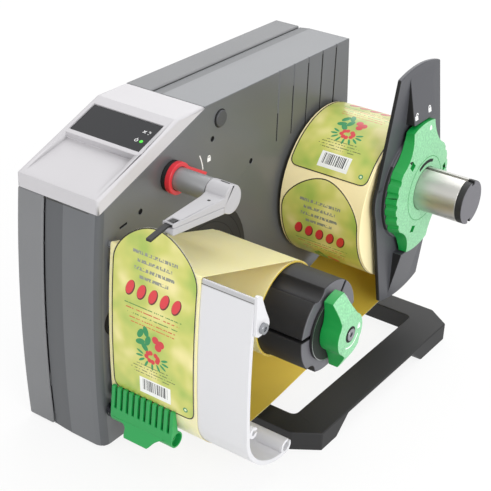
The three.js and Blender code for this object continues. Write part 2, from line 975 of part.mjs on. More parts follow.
// Screws that hold the plate and the foot frame, from inside the chassis
function wallScrew(name, y, z, radius, hold) {
  const seat = -castWall - frameScrewHead;
  addPiece(name, join(
    rodX(y, z, radius, -castWall - frameScrewHead * half, hold, smallSides),
    rodX(y, z, radius * 2, seat, -castWall, smallSides),
  ), steel);
}
wallScrew('plate_screw_low', ...wallScrewPlaces[0], plateStart + bracketReach);
wallScrew('plate_screw_high', ...wallScrewPlaces[1], plateStart + bracketReach);
wallScrew('frame_screw_front', ...wallScrewPlaces[2], frameScrewHold);
wallScrew('frame_screw_back', ...wallScrewPlaces[3], frameScrewHold);

// Wound and running liner: from the roll, round the foot of the plate, up its face, over the
// edge and back to the rewinder
const leave = point(...polar(rollY, rollZ, rollRadius + restGap, webLeaveAngle));
const heelLead = point(heelPortY, plateFootZ - restGap);
const webFootLine = offsetLine(plateLine, restGap);
const loopLine = new THREE.SplineCurve([
  point(...polar(rollY, rollZ, rollRadius + restGap, webLeaveAngle + frameInnerRadius)),
  leave,
  ...webLoopShares.map(([y, z]) => point(
    heelLead.x + y * (leave.x - heelLead.x),
    heelLead.y + z * (leave.y - heelLead.y),
  )),
  heelLead,
]).getPoints(roundSides);
const webNose = arcPoints(noseY, noseZ, noseRadius, frontNormal, spanDegrees, webNoseSteps);
const spanEnd = point(...polar(hubY, hubZ, woundLineRadius, spanDegrees));
const webLine = [...loopLine, ...webFootLine, ...webNose, spanEnd];
addPiece('label_web', strip(webLine, webThickness, webInner, webOuter), linerYellow);

// Roll of labels on its loose card core
const coreOuter = coreBoreRadius + coreWall;
addPiece('roll_core', ringX(
  rollY,
  rollZ,
  coreOuter,
  coreBoreRadius,
  webInner,
  webOuter,
  wideSides,
), card);
addPiece('label_roll', ringX(
  rollY,
  rollZ,
  rollRadius,
  coreOuter,
  webInner,
  webOuter,
  wideSides,
), labelGreen);

// Peeled label: stands in front of the liner and reaches past the edge, with a domed top
const labelStart = webInner + labelInset;
const labelEnd = labelStart + labelWidth;
const labelBack = restGap + webThickness + labelGap;
const labelTop = labelFoot + labelHeight;
const labelFrontLine = offsetLine(plateFrontLine.getPoints(smallSides), labelBack);
const labelTip = point(plateY + topLean * (labelTop - plateTop) - labelBack, labelTop);
const labelSheet = strip([...labelFrontLine, labelTip], labelThickness, labelStart, labelEnd);
function labelOutline() {
  const shape = new THREE.Shape();
  const middle = (labelStart + labelEnd) * half;
  const shoulder = labelTop - labelShoulder;
  const low = labelFoot + labelCorner;
  shape.moveTo(labelStart + labelCorner, labelFoot);
  shape.lineTo(labelEnd - labelCorner, labelFoot);
  shape.quadraticCurveTo(labelEnd, labelFoot, labelEnd, low);
  shape.lineTo(labelEnd, shoulder);
  shape.bezierCurveTo(labelEnd, shoulder + labelDome, middle + labelDome, labelTop, middle, labelTop);
  shape.bezierCurveTo(middle - labelDome, labelTop, labelStart, shoulder + labelDome, labelStart, shoulder);
  shape.lineTo(labelStart, low);
  shape.quadraticCurveTo(labelStart, labelFoot, labelStart + labelCorner, labelFoot);
  return shape;
}
const labelPunch = prismY(labelOutline(), -plateY - plateBulge, plateY * 2, smallSides * half);
addPiece('peeled_label', common(labelSheet, labelPunch), labelGreen);

// Unwinder shaft with its keyway, end cap and bolt
function keyTool(x0, x1) {
  const low = shaftZ + shaftRadius - keyDepth;
  const high = shaftZ + shaftRadius + cutOverrun;
  return block(x0, x1, shaftY - keyWidth * half, shaftY + keyWidth * half, low, high);
}
const spigotStart = shaftLength - endCapSpigot;
addPiece('unwind_shaft', cut(
  join(
    rodX(shaftY, shaftZ, shaftRadius, 0, shaftLength, wideSides),
    rodX(shaftY, shaftZ, shaftFlangeRadius, 0, shaftFlangeThickness, wideSides),
  ),
  keyTool(shaftFlangeThickness, shaftLength + cutOverrun),
  rodX(shaftY, shaftZ, endCapSpigotRadius + restGap, spigotStart - restGap, shaftLength + cutOverrun),
  rodX(shaftY, shaftZ, shaftBoltRadius + restGap, -cutOverrun, shaftBoltHold + restGap, smallSides),
), satinMetal);
addPiece('shaft_end_cap', cut(
  join(
    rodX(shaftY, shaftZ, shaftRadius, shaftLength, shaftEnd, wideSides),
    rodX(shaftY, shaftZ, endCapSpigotRadius, spigotStart, shaftLength + endCapLength * half),
  ),
  keyTool(shaftLength - cutOverrun, shaftEnd + cutOverrun),
  block(
    shaftLength - cutOverrun,
    shaftEnd + cutOverrun,
    shaftY - keyWidth * half,
    shaftY + keyWidth * half,
    shaftZ - shaftRadius - cutOverrun,
    shaftZ - shaftRadius + endCapNotch,
  ),
), darkGrey);
addPiece('shaft_bolt', join(
  rodX(shaftY, shaftZ, shaftBoltRadius, -castWall - shaftBoltHead * half, shaftBoltHold, smallSides),
  rodX(shaftY, shaftZ, shaftBoltHeadRadius, -castWall - shaftBoltHead, -castWall, hexSides),
), steel);

// Margin stop: a long blade with two raised ribs, on a hub that slides on the shaft
function bladeOutline() {
  const endZ = Math.sqrt(bladeReach * bladeReach - bladeEndHalfWidth * bladeEndHalfWidth);
  const end = Math.atan2(endZ, bladeEndHalfWidth);
  const taper = (bladeHalfWidth - bladeEndHalfWidth) / endZ;
  const side = bladeHalfWidth - taper * bladeWaist;
  const crown = bladeHalfWidth + taper * bladeWaist;
  const shape = new THREE.Shape();
  shape.absarc(shaftY, shaftZ, bladeReach, end, Math.PI - end);
  shape.lineTo(shaftY - side, shaftZ + bladeWaist);
  shape.quadraticCurveTo(shaftY - crown, shaftZ, shaftY - side, shaftZ - bladeWaist);
  shape.absarc(shaftY, shaftZ, bladeReach, Math.PI + end, 2 * Math.PI - end);
  shape.lineTo(shaftY + side, shaftZ - bladeWaist);
  shape.quadraticCurveTo(shaftY + crown, shaftZ, shaftY + side, shaftZ + bladeWaist);
  return shape;
}

const knobSweepRadius = stopKnobLobe + slideGap * 2;
function ribWedge(up) {
  const ribBase = bladeEnd - bladeThickness * half;
  return prismY(outline([
    [ribBase, shaftZ + up * knobSweepRadius],
    [ribBase, shaftZ + up * ribReach],
    [bladeEnd, shaftZ + up * ribReach],
    [bladeEnd + ribHeight, shaftZ + up * knobSweepRadius],
  ]), shaftY - ribHalfWidth, shaftY + ribHalfWidth);
}
const knobSweep = rodX(
  shaftY,
  shaftZ,
  knobSweepRadius,
  stopHubEnd,
  stopKnobEnd + cutOverrun,
  wideSides,
);
const spigotBore = stopSpigotRadius + slideGap;
addPiece('margin_stop', cut(
  join(
    prism(bladeOutline(), bladeStart, bladeEnd),
    rodX(shaftY, shaftZ, stopHubRadius, bladeEnd - bladeThickness * half, stopHubEnd, wideSides),
    rodX(shaftY, shaftZ, bladeBossRadius, bossStart, bladeEnd - bladeThickness * half, wideSides),
    ribWedge(1),
    ribWedge(-1),
  ),
  knobSweep,
  rodX(shaftY, shaftZ, shaftRadius + slideGap, bossStart - cutOverrun, stopHubEnd + cutOverrun, wideSides),
  rodX(shaftY, shaftZ, spigotBore, stopHubEnd - stopSpigotLength, stopHubEnd + cutOverrun, wideSides),
), darkGrey);

// Clamping knob of the margin stop: two lobes, scalloped sides and a gently falling face
function lobedOutline(y, z, lobeRadius, lobeHalf, flank, waistRadius, waistAngle) {
  const lobe = Math.asin(lobeHalf / lobeRadius);
  const waist = THREE.MathUtils.degToRad(waistAngle);
  const shape = new THREE.Shape();
  for (const turn of [Math.PI * half, -Math.PI * half]) {
    const side = turn + Math.PI * half;
    const next = turn + Math.PI - lobe;
    const flankY = y + Math.cos(side) * lobeHalf;
    const flankRise = Math.sin(turn) * flank;
    shape.absarc(y, z, lobeRadius, turn - lobe, turn + lobe);
    shape.quadraticCurveTo(flankY, z + flankRise, ...polarPlace(y, z, waistRadius, side - waist));
    shape.absarc(y, z, waistRadius, side - waist, side + waist);
    shape.quadraticCurveTo(flankY, z - flankRise, ...polarPlace(y, z, lobeRadius, next));
  }
  return shape;
}

function fallingFace(y, z, x0, x1, flat, reach, fall) {
  return new THREE.LatheGeometry([
    point(0, 0),
    point(reach + cutOverrun, 0),
    point(reach + cutOverrun, x1 - x0 - fall),
    point(flat, x1 - x0),
    point(0, x1 - x0),
  ], wideSides).rotateZ(-Math.PI * half).translate(x0, y, z);
}

function toothTools() {
  const tools = [];
  for (const side of [0, halfTurn]) {
    for (let i = 0; i < stopToothCount; i += 1) {
      const angle = side + (i - (stopToothCount - 1) * half) * stopToothPitch;
      const [y, z] = polar(shaftY, shaftZ, stopKnobWaist + stopToothRadius * half, angle);
      const toothStart = stopKnobStart - cutOverrun;
      const toothEnd = stopKnobEnd + cutOverrun;
      tools.push(rodX(y, z, stopToothRadius, toothStart, toothEnd, smallSides));
    }
  }
  return tools;
}

function pocketTools() {
  const tools = [];
  for (let i = 0; i < stopPocketCount; i += 1) {
    const pocket = block(
      stopKnobEnd - stopPocketDepth,
      stopKnobEnd + cutOverrun,
      shaftY + stopPocketRadius - stopPocketSize,
      shaftY + stopPocketRadius,
      shaftZ - stopPocketSize * half,
      shaftZ + stopPocketSize * half,
    );
    tools.push(turned(pocket, shaftY, shaftZ, stopPocketTurn + i * fullTurn / stopPocketCount));
  }
  return tools;
}
const stopKnobShape = lobedOutline(
  shaftY,
  shaftZ,
  stopKnobLobe,
  stopKnobLobeHalf,
  stopKnobFlank,
  stopKnobWaist,
  stopKnobWaistAngle,
);
const stopKnobBody = common(
  prism(stopKnobShape, stopKnobStart, stopKnobEnd),
  fallingFace(shaftY, shaftZ, stopKnobStart, stopKnobEnd, stopKnobFlat, stopKnobLobe, stopKnobFall),
);
const knobSpigot = rodX(
  shaftY,
  shaftZ,
  stopSpigotRadius,
  stopHubEnd - stopSpigotLength + slideGap,
  stopKnobStart + stopKnobHeight * half,
  wideSides,
);
addPiece('margin_knob', turned(cut(
  join(stopKnobBody, knobSpigot),
  rodX(shaftY, shaftZ, shaftRadius + slideGap, bossStart, stopKnobEnd + cutOverrun, wideSides),
  ...toothTools(),
  ...pocketTools(),
), shaftY, shaftZ, stopKnobTurn), green);

// Rewinder: driven shaft and core, flange, three gripping segments, disc, knob and screw
const coreStart = flangeStart + flangeThickness + restGap;
const pulleyWidth = beltWidth + 2 * pulleyRim;
const motorFace = -castWall - motorStandoff - motorLength;
const plateFace = motorFace - bracketPlate;
const pulleyEnd = plateFace - pulleyClear;
const pulleyStart = pulleyEnd - pulleyWidth;
const blockStart = -castWall - blockLength;
const knobScrewHold = hubEnd - hubKnobLength;
addPiece('rewind_shaft', cut(
  join(
    rodX(hubY, hubZ, rewindShaftRadius, pulleyStart, hubEnd),
    rodX(hubY, hubZ, coreRadius, coreStart, hubEnd),
  ),
  rodX(hubY, hubZ, knobScrewStem + restGap, knobScrewHold - restGap, hubEnd + cutOverrun, smallSides),
), steel);
addPiece('rewind_flange', cut(
  join(
    rodX(hubY, hubZ, flangeRadius, flangeStart, flangeStart + flangeThickness * half, wideSides),
    rodX(hubY, hubZ, flangeStepRadius, flangeStart, flangeStart + flangeThickness, wideSides),
  ),
  rodX(hubY, hubZ, rewindShaftRadius + restGap, 0, coreStart, wideSides),
), blackPlastic);

function segmentOutline() {
  const reach = Math.PI / hubSegments;
  const outer = reach - Math.asin(hubGap * half / hubRadius);
  const inner = reach - Math.asin(hubGap * half / hubInnerRadius);
  const shape = new THREE.Shape();
  shape.absarc(hubY, hubZ, hubRadius, -outer, outer);
  shape.absarc(hubY, hubZ, hubInnerRadius, inner, -inner, true);
  return shape;
}
const hubStep = fullTurn / hubSegments;
for (let i = 0; i < hubSegments; i += 1) {
  const angle = hubGapAngle + (i + half) * hubStep;
  const tools = [rodX(
    hubY + hubRadius + hubGrooveOut,
    hubZ,
    hubGrooveRadius,
    hubStart - cutOverrun,
    hubEnd + cutOverrun,
  )];
  const segment = cut(prism(segmentOutline(), hubStart, hubEnd, roundSides), ...tools);
  addPiece(`hub_segment_${i + 1}`, turned(segment, hubY, hubZ, angle), blackPlastic);
}
addPiece('retaining_disc', ringX(
  hubY,
  hubZ,
  discRadius,
  knobScrewStem + restGap,
  discStart,
  discStart + discThickness,
), darkGrey);
const hubKnobShape = lobedOutline(
  hubY,
  hubZ,
  hubKnobLobe,
  hubKnobLobeHalf,
  hubKnobFlank,
  hubKnobWaist,
  hubKnobWaistAngle,
);
const knobBore = rodX(hubY, hubZ, knobScrewStem + restGap, hubEnd, hubKnobEnd + cutOverrun, smallSides);
const knobSink = rodX(
  hubY,
  hubZ,
  knobScrewRadius + restGap,
  hubKnobEnd - knobScrewSink,
  hubKnobEnd + cutOverrun,
);
addPiece('rewind_knob', turned(cut(
  common(
    prism(hubKnobShape, hubKnobStart, hubKnobEnd),
    fallingFace(hubY, hubZ, hubKnobStart, hubKnobEnd, hubKnobFlat, hubKnobLobe, hubKnobFall),
  ),
  knobBore,
  knobSink,
), hubY, hubZ, hubKnobTilt), green);
addPiece('knob_screw', capScrew(
  hubY,
  hubZ,
  knobScrewStem,
  knobScrewHold,
  hubKnobEnd - knobScrewSink,
  knobScrewRadius,
  knobScrewHead,
  knobScrewSocket,
), steel);
addPiece('wound_liner', ringX(
  hubY,
  hubZ,
  woundRadius,
  hubRadius + restGap,
  hubStart,
  webOuter,
  wideSides,
), linerYellow);

// Sensor: a tube that slides in a bush, a locking lever, and an arm with a finger
addPiece('sensor_bush', cut(
  join(
    rodX(sensorY, sensorZ, tubeRadius + bushWall, -bushLength, bushReach),
    rodX(sensorY, sensorZ, tubeRadius + 2 * bushWall, -castWall - bushWall, -castWall),
  ),
  rodX(sensorY, sensorZ, tubeRadius + slideGap, -bushLength - cutOverrun, bushReach + cutOverrun),
), blackPlastic);
const armStart = armEnd - armWidth;
const tubeStep = armStart - slideGap;
addPiece('sensor_tube', join(
  ringX(sensorY, sensorZ, tubeRadius, tubeRadius - tubeWall, -tubeInside, tubeStep),
  ringX(
    sensorY,
    sensorZ,
    spigotRadius,
    spigotRadius - tubeWall,
    tubeStep - spigotHold,
    tubeOutside,
  ),
), tubeGrey);
const leverStart = bushReach + slideGap;
const leverEnd = leverStart + leverThickness;
const leverTab = prism(outline([
  [sensorY, sensorZ - leverTabTip],
  [sensorY + leverTabReach - leverTabTip, sensorZ - leverTabDrop - leverTabTip],
  [sensorY + leverTabReach, sensorZ - leverTabDrop],
  [sensorY, sensorZ + leverRadius],
]), leverStart, leverEnd);
addPiece('sensor_lever', cut(
  join(rodX(sensorY, sensorZ, leverRadius, leverStart, leverEnd), leverTab),
  rodX(sensorY, sensorZ, tubeRadius + slideGap, 0, leverEnd + cutOverrun),
), red);

const armTipStart = armEnd - armTipWidth;
const armTaper = prismZ(outline([
  [armTipStart, armTipY - cutOverrun],
  [armEnd, armTipY - cutOverrun],
  [armEnd, sensorY + armPivotRadius + cutOverrun],
  [armStart, sensorY + armPivotRadius + cutOverrun],
  [armStart, armShoulderY],
  [armEnd - armNeckWidth, armNeckY],
]), armWaistBottom - armPivotRadius, armTipTop + armPivotRadius);
function armUpperOutline() {
  const shape = new THREE.Shape();
  shape.moveTo(armTipY, armTipTop);
  shape.lineTo(armTipY, armTipSeam + armSeamGap);
  shape.lineTo(armWaistY, armWaistSeam + armSeamGap);
  shape.lineTo(armWaistY, armWaistBottom);
  shape.absarc(
    sensorY,
    sensorZ - armPivotDrop,
    armPivotRadius,
    THREE.MathUtils.degToRad(armArcStart),
    THREE.MathUtils.degToRad(armArcEnd),
  );
  shape.lineTo(armWaistY, armWaistTop);
  return shape;
}
const armWindow = [armTipStart + armTipWidth * half, armTipSeam + armSeamGap + armSlotHeight * half];
addPiece('sensor_arm_upper', cut(
  common(prism(armUpperOutline(), armStart, armEnd), armTaper),
  rodX(sensorY, sensorZ, spigotRadius + slideGap, armStart - cutOverrun, tubeOutside + restGap),
  block(
    armWindow[0] - armSlotWidth * half,
    armWindow[0] + armSlotWidth * half,
    armTipY - cutOverrun,
    armTipY + armSlotDepth,
    armWindow[1] - armSlotHeight * half,
    armWindow[1] + armSlotHeight * half,
  ),
), armGrey);
addPiece('sensor_arm_lower', common(prism(outline([
  [armTipY, armTipSeam],
  [armTipY, armTipBottom],
  [armWaistY - armSeamGap, armWaistBottom],
  [armWaistY - armSeamGap, armWaistSeam],
]), armStart, armEnd), armTaper), armGrey);
const fingerBack = armTipY + armSlotDepth - restGap;
const fingerLow = armWindow[1] - fingerThickness * half;
addPiece('sensor_finger', prism(outline([
  [fingerBack, fingerLow],
  [fingerBack, fingerLow + fingerThickness],
  [armTipY - fingerThickness, fingerLow + fingerThickness],
  [armTipY - fingerReach, fingerLow + fingerThickness - fingerDip],
  [armTipY - fingerReach, fingerLow - fingerDip],
  [armTipY - fingerThickness, fingerLow],
]), armWindow[0] - fingerWidth * half, armWindow[0] + fingerWidth * half), blackPlastic);

// Brake comb on its shaft, with the spring that presses it against the liner
const combEnd = combStart + combLength;
const combLean = kneeLean * (combTop - plateKneeZ);
const combFaceY = plateKnee.x - combLean - labelBack - labelThickness - 2 * restGap;
const combBlade = prism(outline([
  [combY - combTubeRadius, combZ],
  [combY, combZ - combThickness],
  [combY + combThickness, combZ],
  [combFaceY, combTop],
  [combFaceY - combThickness, combTop],
]), combStart, combEnd);
const combFlapLow = combZ - combFlapDrop - combThickness;
const combFlapStart = combStart + combFlapNear;
const combFlapEnd = combFlapStart + combFlapWidth;
const combFlapSheet = prism(outline([
  [combY - combTubeRadius, combZ],
  [combY - combFlapReach, combZ - combFlapDrop],
  [combY - combFlapReach + combThickness, combFlapLow],
  [combY, combZ - combTubeRadius],
]), combStart, combFlapEnd);
function combFlapOutline() {
  const lipEnd = combFlapStart + combFlapLip;
  const rise = combFlapLow + combFlapCorner;
  const shape = new THREE.Shape();
  shape.moveTo(combStart, combZ + combTubeRadius);
  shape.lineTo(combStart, combZ);
  shape.quadraticCurveTo(combFlapStart, combZ, combFlapStart, rise);
  shape.quadraticCurveTo(combFlapStart, combFlapLow, combFlapStart + combFlapCorner, combFlapLow);
  shape.lineTo(lipEnd - combFlapCorner * half, combFlapLow);
  shape.quadraticCurveTo(lipEnd + combFlapCorner * half, combFlapLow, lipEnd + combFlapCorner, rise);
  shape.quadraticCurveTo(lipEnd + 2 * combFlapCorner, combZ, combFlapEnd, combZ);
  shape.lineTo(combFlapEnd, combZ + combTubeRadius);
  return shape;
}
const combFlapFront = combY - combFlapReach - cutOverrun;
const combFlapBack = combY + combTubeRadius;
const combFlap = common(
  combFlapSheet,
  prismY(combFlapOutline(), combFlapFront, combFlapBack, smallSides * half),
);
const combPitch = combLength / (combSlots + half);
function combSlotTools() {
  const tools = [];
  for (let i = 0; i < combSlots; i += 1) {
    const x = combStart + combPitch * (i + half + half * half);
    tools.push(block(
      x - combSlotWidth * half,
      x + combSlotWidth * half,
      -combTubeRadius,
      combY + combTubeRadius,
      combSlotFoot,
      combTop + cutOverrun,
    ));
  }
  return tools;
}
addPiece('brake_comb', cut(
  join(rodX(combY, combZ, combTubeRadius, combStart, combEnd), combBlade, combFlap),
  rodX(combY, combZ, combBore, combStart - cutOverrun, combEnd + cutOverrun),
  rodX(combY, combZ, combBoreMouth, combEnd - combBoreMouthDepth, combEnd + cutOverrun),
  ...combSlotTools(),
), green);
addPiece('comb_shaft', rodX(combY, combZ, combShaftRadius, 0, combEnd - combBoreMouthDepth), steel);

class Helix extends THREE.Curve {
  getPoint(t, target = new THREE.Vector3()) {
    const angle = t * springTurns * 2 * Math.PI;
    const run = combStart - 2 * restGap - springWire;
    const [y, z] = [combY + springRadius * Math.cos(angle), combZ + springRadius * Math.sin(angle)];
    return target.set(restGap + springWire * half + t * run, y, z);
  }
}
const wireSection = new THREE.Shape().absarc(0, 0, springWire * half, 0, 2 * Math.PI);
addPiece('comb_spring', new THREE.ExtrudeGeometry(wireSection, {
  steps: springTurns * smallSides,
  curveSegments: wireSides,
  extrudePath: new Helix(),
}), steel);

// Foot frame: a flat loop with an arched front bar that stands out under the rolls
const frameInner = frameReach - frameBarWidth;
const framePlan = outline([
  [0, frameFront],
  [frameReach - frameChamferX, frameFront],
  [frameReach, frameFront + frameChamferY],
  [frameReach, frameBack - frameChamferY],
  [frameReach - frameChamferX, frameBack],
  [0, frameBack],
]);
function frameOpening() {
  const front = frameFront + frameFrontArm;
  const back = frameBack - frameBackArm;
  const shape = new THREE.Shape();
  shape.moveTo(-cutOverrun, front);
  shape.lineTo(frameInner - frameInnerRadius, front);
  shape.quadraticCurveTo(frameInner, front, frameInner, front + frameInnerRadius);
  shape.lineTo(frameInner, back - frameInnerRadius);
  shape.quadraticCurveTo(frameInner, back, frameInner - frameInnerRadius, back);
  shape.lineTo(-cutOverrun, back);
  return shape;
}
const archAlong = prism(outline([
  [archFront, -cutOverrun],
  [archBack, -cutOverrun],
  [archBack, 0],
  [archBack - archRise, frameHeight],
  [archFront + archRise, frameHeight],
  [archFront, 0],
]), frameInner - cutOverrun, frameReach + cutOverrun);
const archAcross = prismY(outline([
  [frameInner - cutOverrun, -cutOverrun],
  [frameReach + cutOverrun, -cutOverrun],
  [frameReach + cutOverrun, frameHeight - archEdge],
  [frameInner - cutOverrun, archHeight],
]), frameFront, frameBack);
function frameScrewTool(y) {
  const hole = frameScrewRadius + restGap;
  return rodX(y, frameScrewZ, hole, -cutOverrun, frameScrewHold + restGap, smallSides);
}
addPiece('foot_frame', cut(
  prismZ(framePlan, 0, frameHeight),
  prismZ(frameOpening(), -cutOverrun, frameHeight + cutOverrun),
  common(archAlong, archAcross),
  frameScrewTool(frameScrewFrontY),
  frameScrewTool(frameScrewBackY),
), framePlastic);

// Drive: bearings in their block, pulleys, belt, motor and its bracket
const bearingSeat = bearingWidth + restGap;
addPiece('bearing_block', cut(
  rodX(hubY, hubZ, blockRadius, blockStart, -castWall),
  rodX(hubY, hubZ, blockBore, blockStart - cutOverrun, -castWall + cutOverrun),
  rodX(hubY, hubZ, bearingRadius + restGap, blockStart - cutOverrun, blockStart + bearingSeat),
  rodX(hubY, hubZ, bearingRadius + restGap, -castWall - bearingSeat, -castWall + cutOverrun),
), steel);
for (const [name, start] of [
  ['bearing_inner', blockStart],
  ['bearing_outer', -castWall - bearingWidth],
]) {
  const bearingBore = rewindShaftRadius + slideGap;
  const ring = ringX(hubY, hubZ, bearingRadius, bearingBore, start, start + bearingWidth);
  addPiece(name, ring, steel);
}

function pulley(y, z, radius) {
  return join(
    rodX(y, z, radius, pulleyStart, pulleyEnd),
    rodX(y, z, radius + pulleyRimHeight, pulleyStart, pulleyStart + pulleyRim),
    rodX(y, z, radius + pulleyRimHeight, pulleyEnd - pulleyRim, pulleyEnd),
  );
}
addPiece('rewind_pulley', cut(
  pulley(hubY, hubZ, rewindPulleyRadius),
  rodX(hubY, hubZ, rewindShaftRadius + restGap, pulleyStart - cutOverrun, pulleyEnd + cutOverrun),
), blackPlastic);
addPiece('motor_pulley', join(
  pulley(motorY, motorZ, motorPulleyRadius),
  rodX(motorY, motorZ, motorShaftRadius, pulleyStart, motorFace + motorShaftHold, smallSides),
), blackPlastic);

function beltOutline(extra) {
  const dy = motorY - hubY;
  const dz = motorZ - hubZ;
  const bigRadius = rewindPulleyRadius + extra;
  const smallRadius = motorPulleyRadius + extra;
  const line = Math.atan2(dz, dy);
  const spread = Math.acos((bigRadius - smallRadius) / Math.hypot(dy, dz));
  const shape = new THREE.Shape();
  shape.absarc(hubY, hubZ, bigRadius, line + spread, line - spread + 2 * Math.PI);
  shape.absarc(motorY, motorZ, smallRadius, line - spread, line + spread);
  return shape;
}
const beltStart = pulleyStart + pulleyRim + restGap;
const beltEnd = pulleyEnd - pulleyRim - restGap;
addPiece('drive_belt', cut(
  prism(beltOutline(restGap + beltThickness), beltStart, beltEnd, roundSides),
  prism(beltOutline(restGap), beltStart - cutOverrun, beltEnd + cutOverrun, roundSides),
), rubber);

const motorHalf = motorSize * half;
function motorCorners(reach) {
  return [[-1, -1], [1, -1], [1, 1], [-1, 1]].map(([y, z]) => [motorY + y * reach, motorZ + z * reach]);
}
const motorCorner = outline(motorCorners(motorHalf));
addPiece('motor', cut(
  join(
    prism(motorCorner, motorFace, motorFace + motorLength),
    rodX(motorY, motorZ, motorBossRadius, motorFace - motorBossHeight, motorFace + motorBossHeight),
  ),
  rodX(
    motorY,
    motorZ,
    motorShaftRadius + restGap,
    motorFace - motorBossHeight - cutOverrun,
    motorFace + motorShaftHold + restGap,
    smallSides,
  ),
), blackPlastic);
const postReach = motorHalf + postRadius + restGap;
addPiece('motor_bracket', cut(
  join(
    prism(outline(motorCorners(postReach + postRadius)), plateFace, motorFace),
    ...motorCorners(postReach).map(([y, z]) => rodX(y, z, postRadius, plateFace, -castWall, smallSides)),
  ),
  rodX(motorY, motorZ, motorBossRadius + restGap, plateFace - cutOverrun, motorFace + cutOverrun),
), steel);

// Power supply and control board on the inside of the chassis wall
const supplyY = housingDepth - castWall - supplyBackGap - supplyLength;
const supplyZ = housingTop - castWall - supplyRoofGap - supplyHeight;
const boardY = sensorY + tubeRadius + 2 * bushWall + boardFrontGap;
const boardZ = hubZ + blockRadius + boardFootGap;
addPiece('power_supply', block(
  -castWall - supplyDepth,
  -castWall,
  supplyY,
  supplyY + supplyLength,
  supplyZ,
  supplyZ + supplyHeight,
), steel);
const boardFace = -castWall - boardStandoff;
const boardMiddleY = boardY + boardLength * half;
const boardMiddleZ = boardZ + boardHeight * half;
const standoffStart = boardFace - boardThickness * half;
const standoffs = [standoffInset, boardLength - standoffInset].flatMap((y) => {
  return [standoffInset, boardHeight - standoffInset].map((z) => {
    return rodX(boardY + y, boardZ + z, standoffRadius, standoffStart, -castWall, smallSides);
  });
});
addPiece('control_board', join(
  block(boardFace - boardThickness, boardFace, boardY, boardY + boardLength, boardZ, boardZ + boardHeight),
  block(
    boardFace - boardThickness - chipHeight,
    boardFace - boardThickness * half,
    boardMiddleY - chipSize * half,
    boardMiddleY + chipSize * half,
    boardMiddleZ - chipSize * half,
    boardMiddleZ + chipSize * half,
  ),
  ...standoffs,
), boardGreen);

// Connections on the back: power inlet, switch and interface socket
function backBlock(width, height, z, y0, y1) {
  return block(inletX - width * half, inletX + width * half, y0, y1, z - height * half, z + height * half);
}

function backFrame(width, height, z, depth, flange) {
  return join(
    backBlock(width, height, z, housingBack - depth, housingBack + flange * half),
    backBlock(width + 2 * inletFlange, height + 2 * inletFlange, z, housingBack, housingBack + flange),
  );
}
const inletOuter = housingBack + inletFlangeThickness;
const inletFloor = inletOuter - inletSocketDepth;
const inletPins = [-pinSpacing, 0, pinSpacing].map((x) => {
  const pin = backBlock(pinWidth, pinHeight, inletZ, inletFloor - cutOverrun, inletFloor + pinLength);
  return pin.translate(x, 0, 0);
});
addPiece('power_inlet', join(
  cut(
    backFrame(inletWidth, inletHeight, inletZ, inletDepth, inletFlangeThickness),
    backBlock(
      inletWidth - 2 * inletWall,
      inletHeight - 2 * inletWall,
      inletZ,
      inletFloor,
      inletOuter + cutOverrun,
    ),
  ),
  ...inletPins,
), blackPlastic);
addPiece('switch_frame', cut(
  backFrame(switchWidth, switchHeight, switchZ, switchDepth, inletFlangeThickness),
  backBlock(
    switchWidth - 2 * switchWall,
    switchHeight - 2 * switchWall,
    switchZ,
    housingBack - switchDepth + switchWall,
    inletOuter + cutOverrun,
  ),
), blackPlastic);
addPiece('interface_socket', cut(
  join(
    backFrame(interfaceWidth, interfaceHeight, interfaceZ, interfaceDepth, inletFlangeThickness),
    backBlock(
      interfaceWidth - 2 * interfaceWall,
      interfaceHeight - 2 * interfaceWall,
      interfaceZ,
      housingBack,
      housingBack + interfaceReach,
    ),
  ),
  backBlock(
    interfaceWidth - 4 * interfaceWall,
    interfaceHeight - 4 * interfaceWall,
    interfaceZ,
    housingBack + interfaceReach - interfaceSocketDepth,
    housingBack + interfaceReach + cutOverrun,
  ),
), steel);

// Rocker of the switch, pressed in at its left end
const rockerHalf = switchWidth * half - switchWall - rockerGap;
const rockerRise = rockerHalf * Math.tan(THREE.MathUtils.degToRad(rockerTilt));
const rockerTall = switchHeight * half - switchWall - rockerGap;
const rocker = prismZ(outline([
  [-rockerHalf + rockerRise, rockerDepth * -half],
  [rockerHalf - rockerRise, rockerDepth * -half],
  [rockerHalf - rockerGap, rockerRise],
  [0, 0],
  [rockerGap - rockerHalf, rockerRise],
]), -rockerTall, rockerTall);
rocker.rotateZ(THREE.MathUtils.degToRad(rockerTilt));
addPiece('power_rocker', rocker.translate(inletX, inletOuter - rockerPivot * half, switchZ), red);

// The finished part stands on z = 0 with its middle over the origin
const bounds = new THREE.Box3().setFromObject(machine);
const middle = bounds.getCenter(new THREE.Vector3());
machine.position.set(-middle.x, -middle.y, -bounds.min.z);

export default machine;
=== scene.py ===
# %% [markdown]
# # A desk machine that peels labels off their liner
#
# The machine has a tall slim grey housing. On its right face sit a label roll on a shaft, a
# bowed dispensing plate with a sharp top edge, and a rewinder that winds up the empty liner.
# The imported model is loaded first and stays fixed: every visible piece made here takes its
# place from it and rides on one of its bodies.

# %% The fixed frame
import json
import math

import bmesh
import bpy
from mathutils import Matrix, Vector

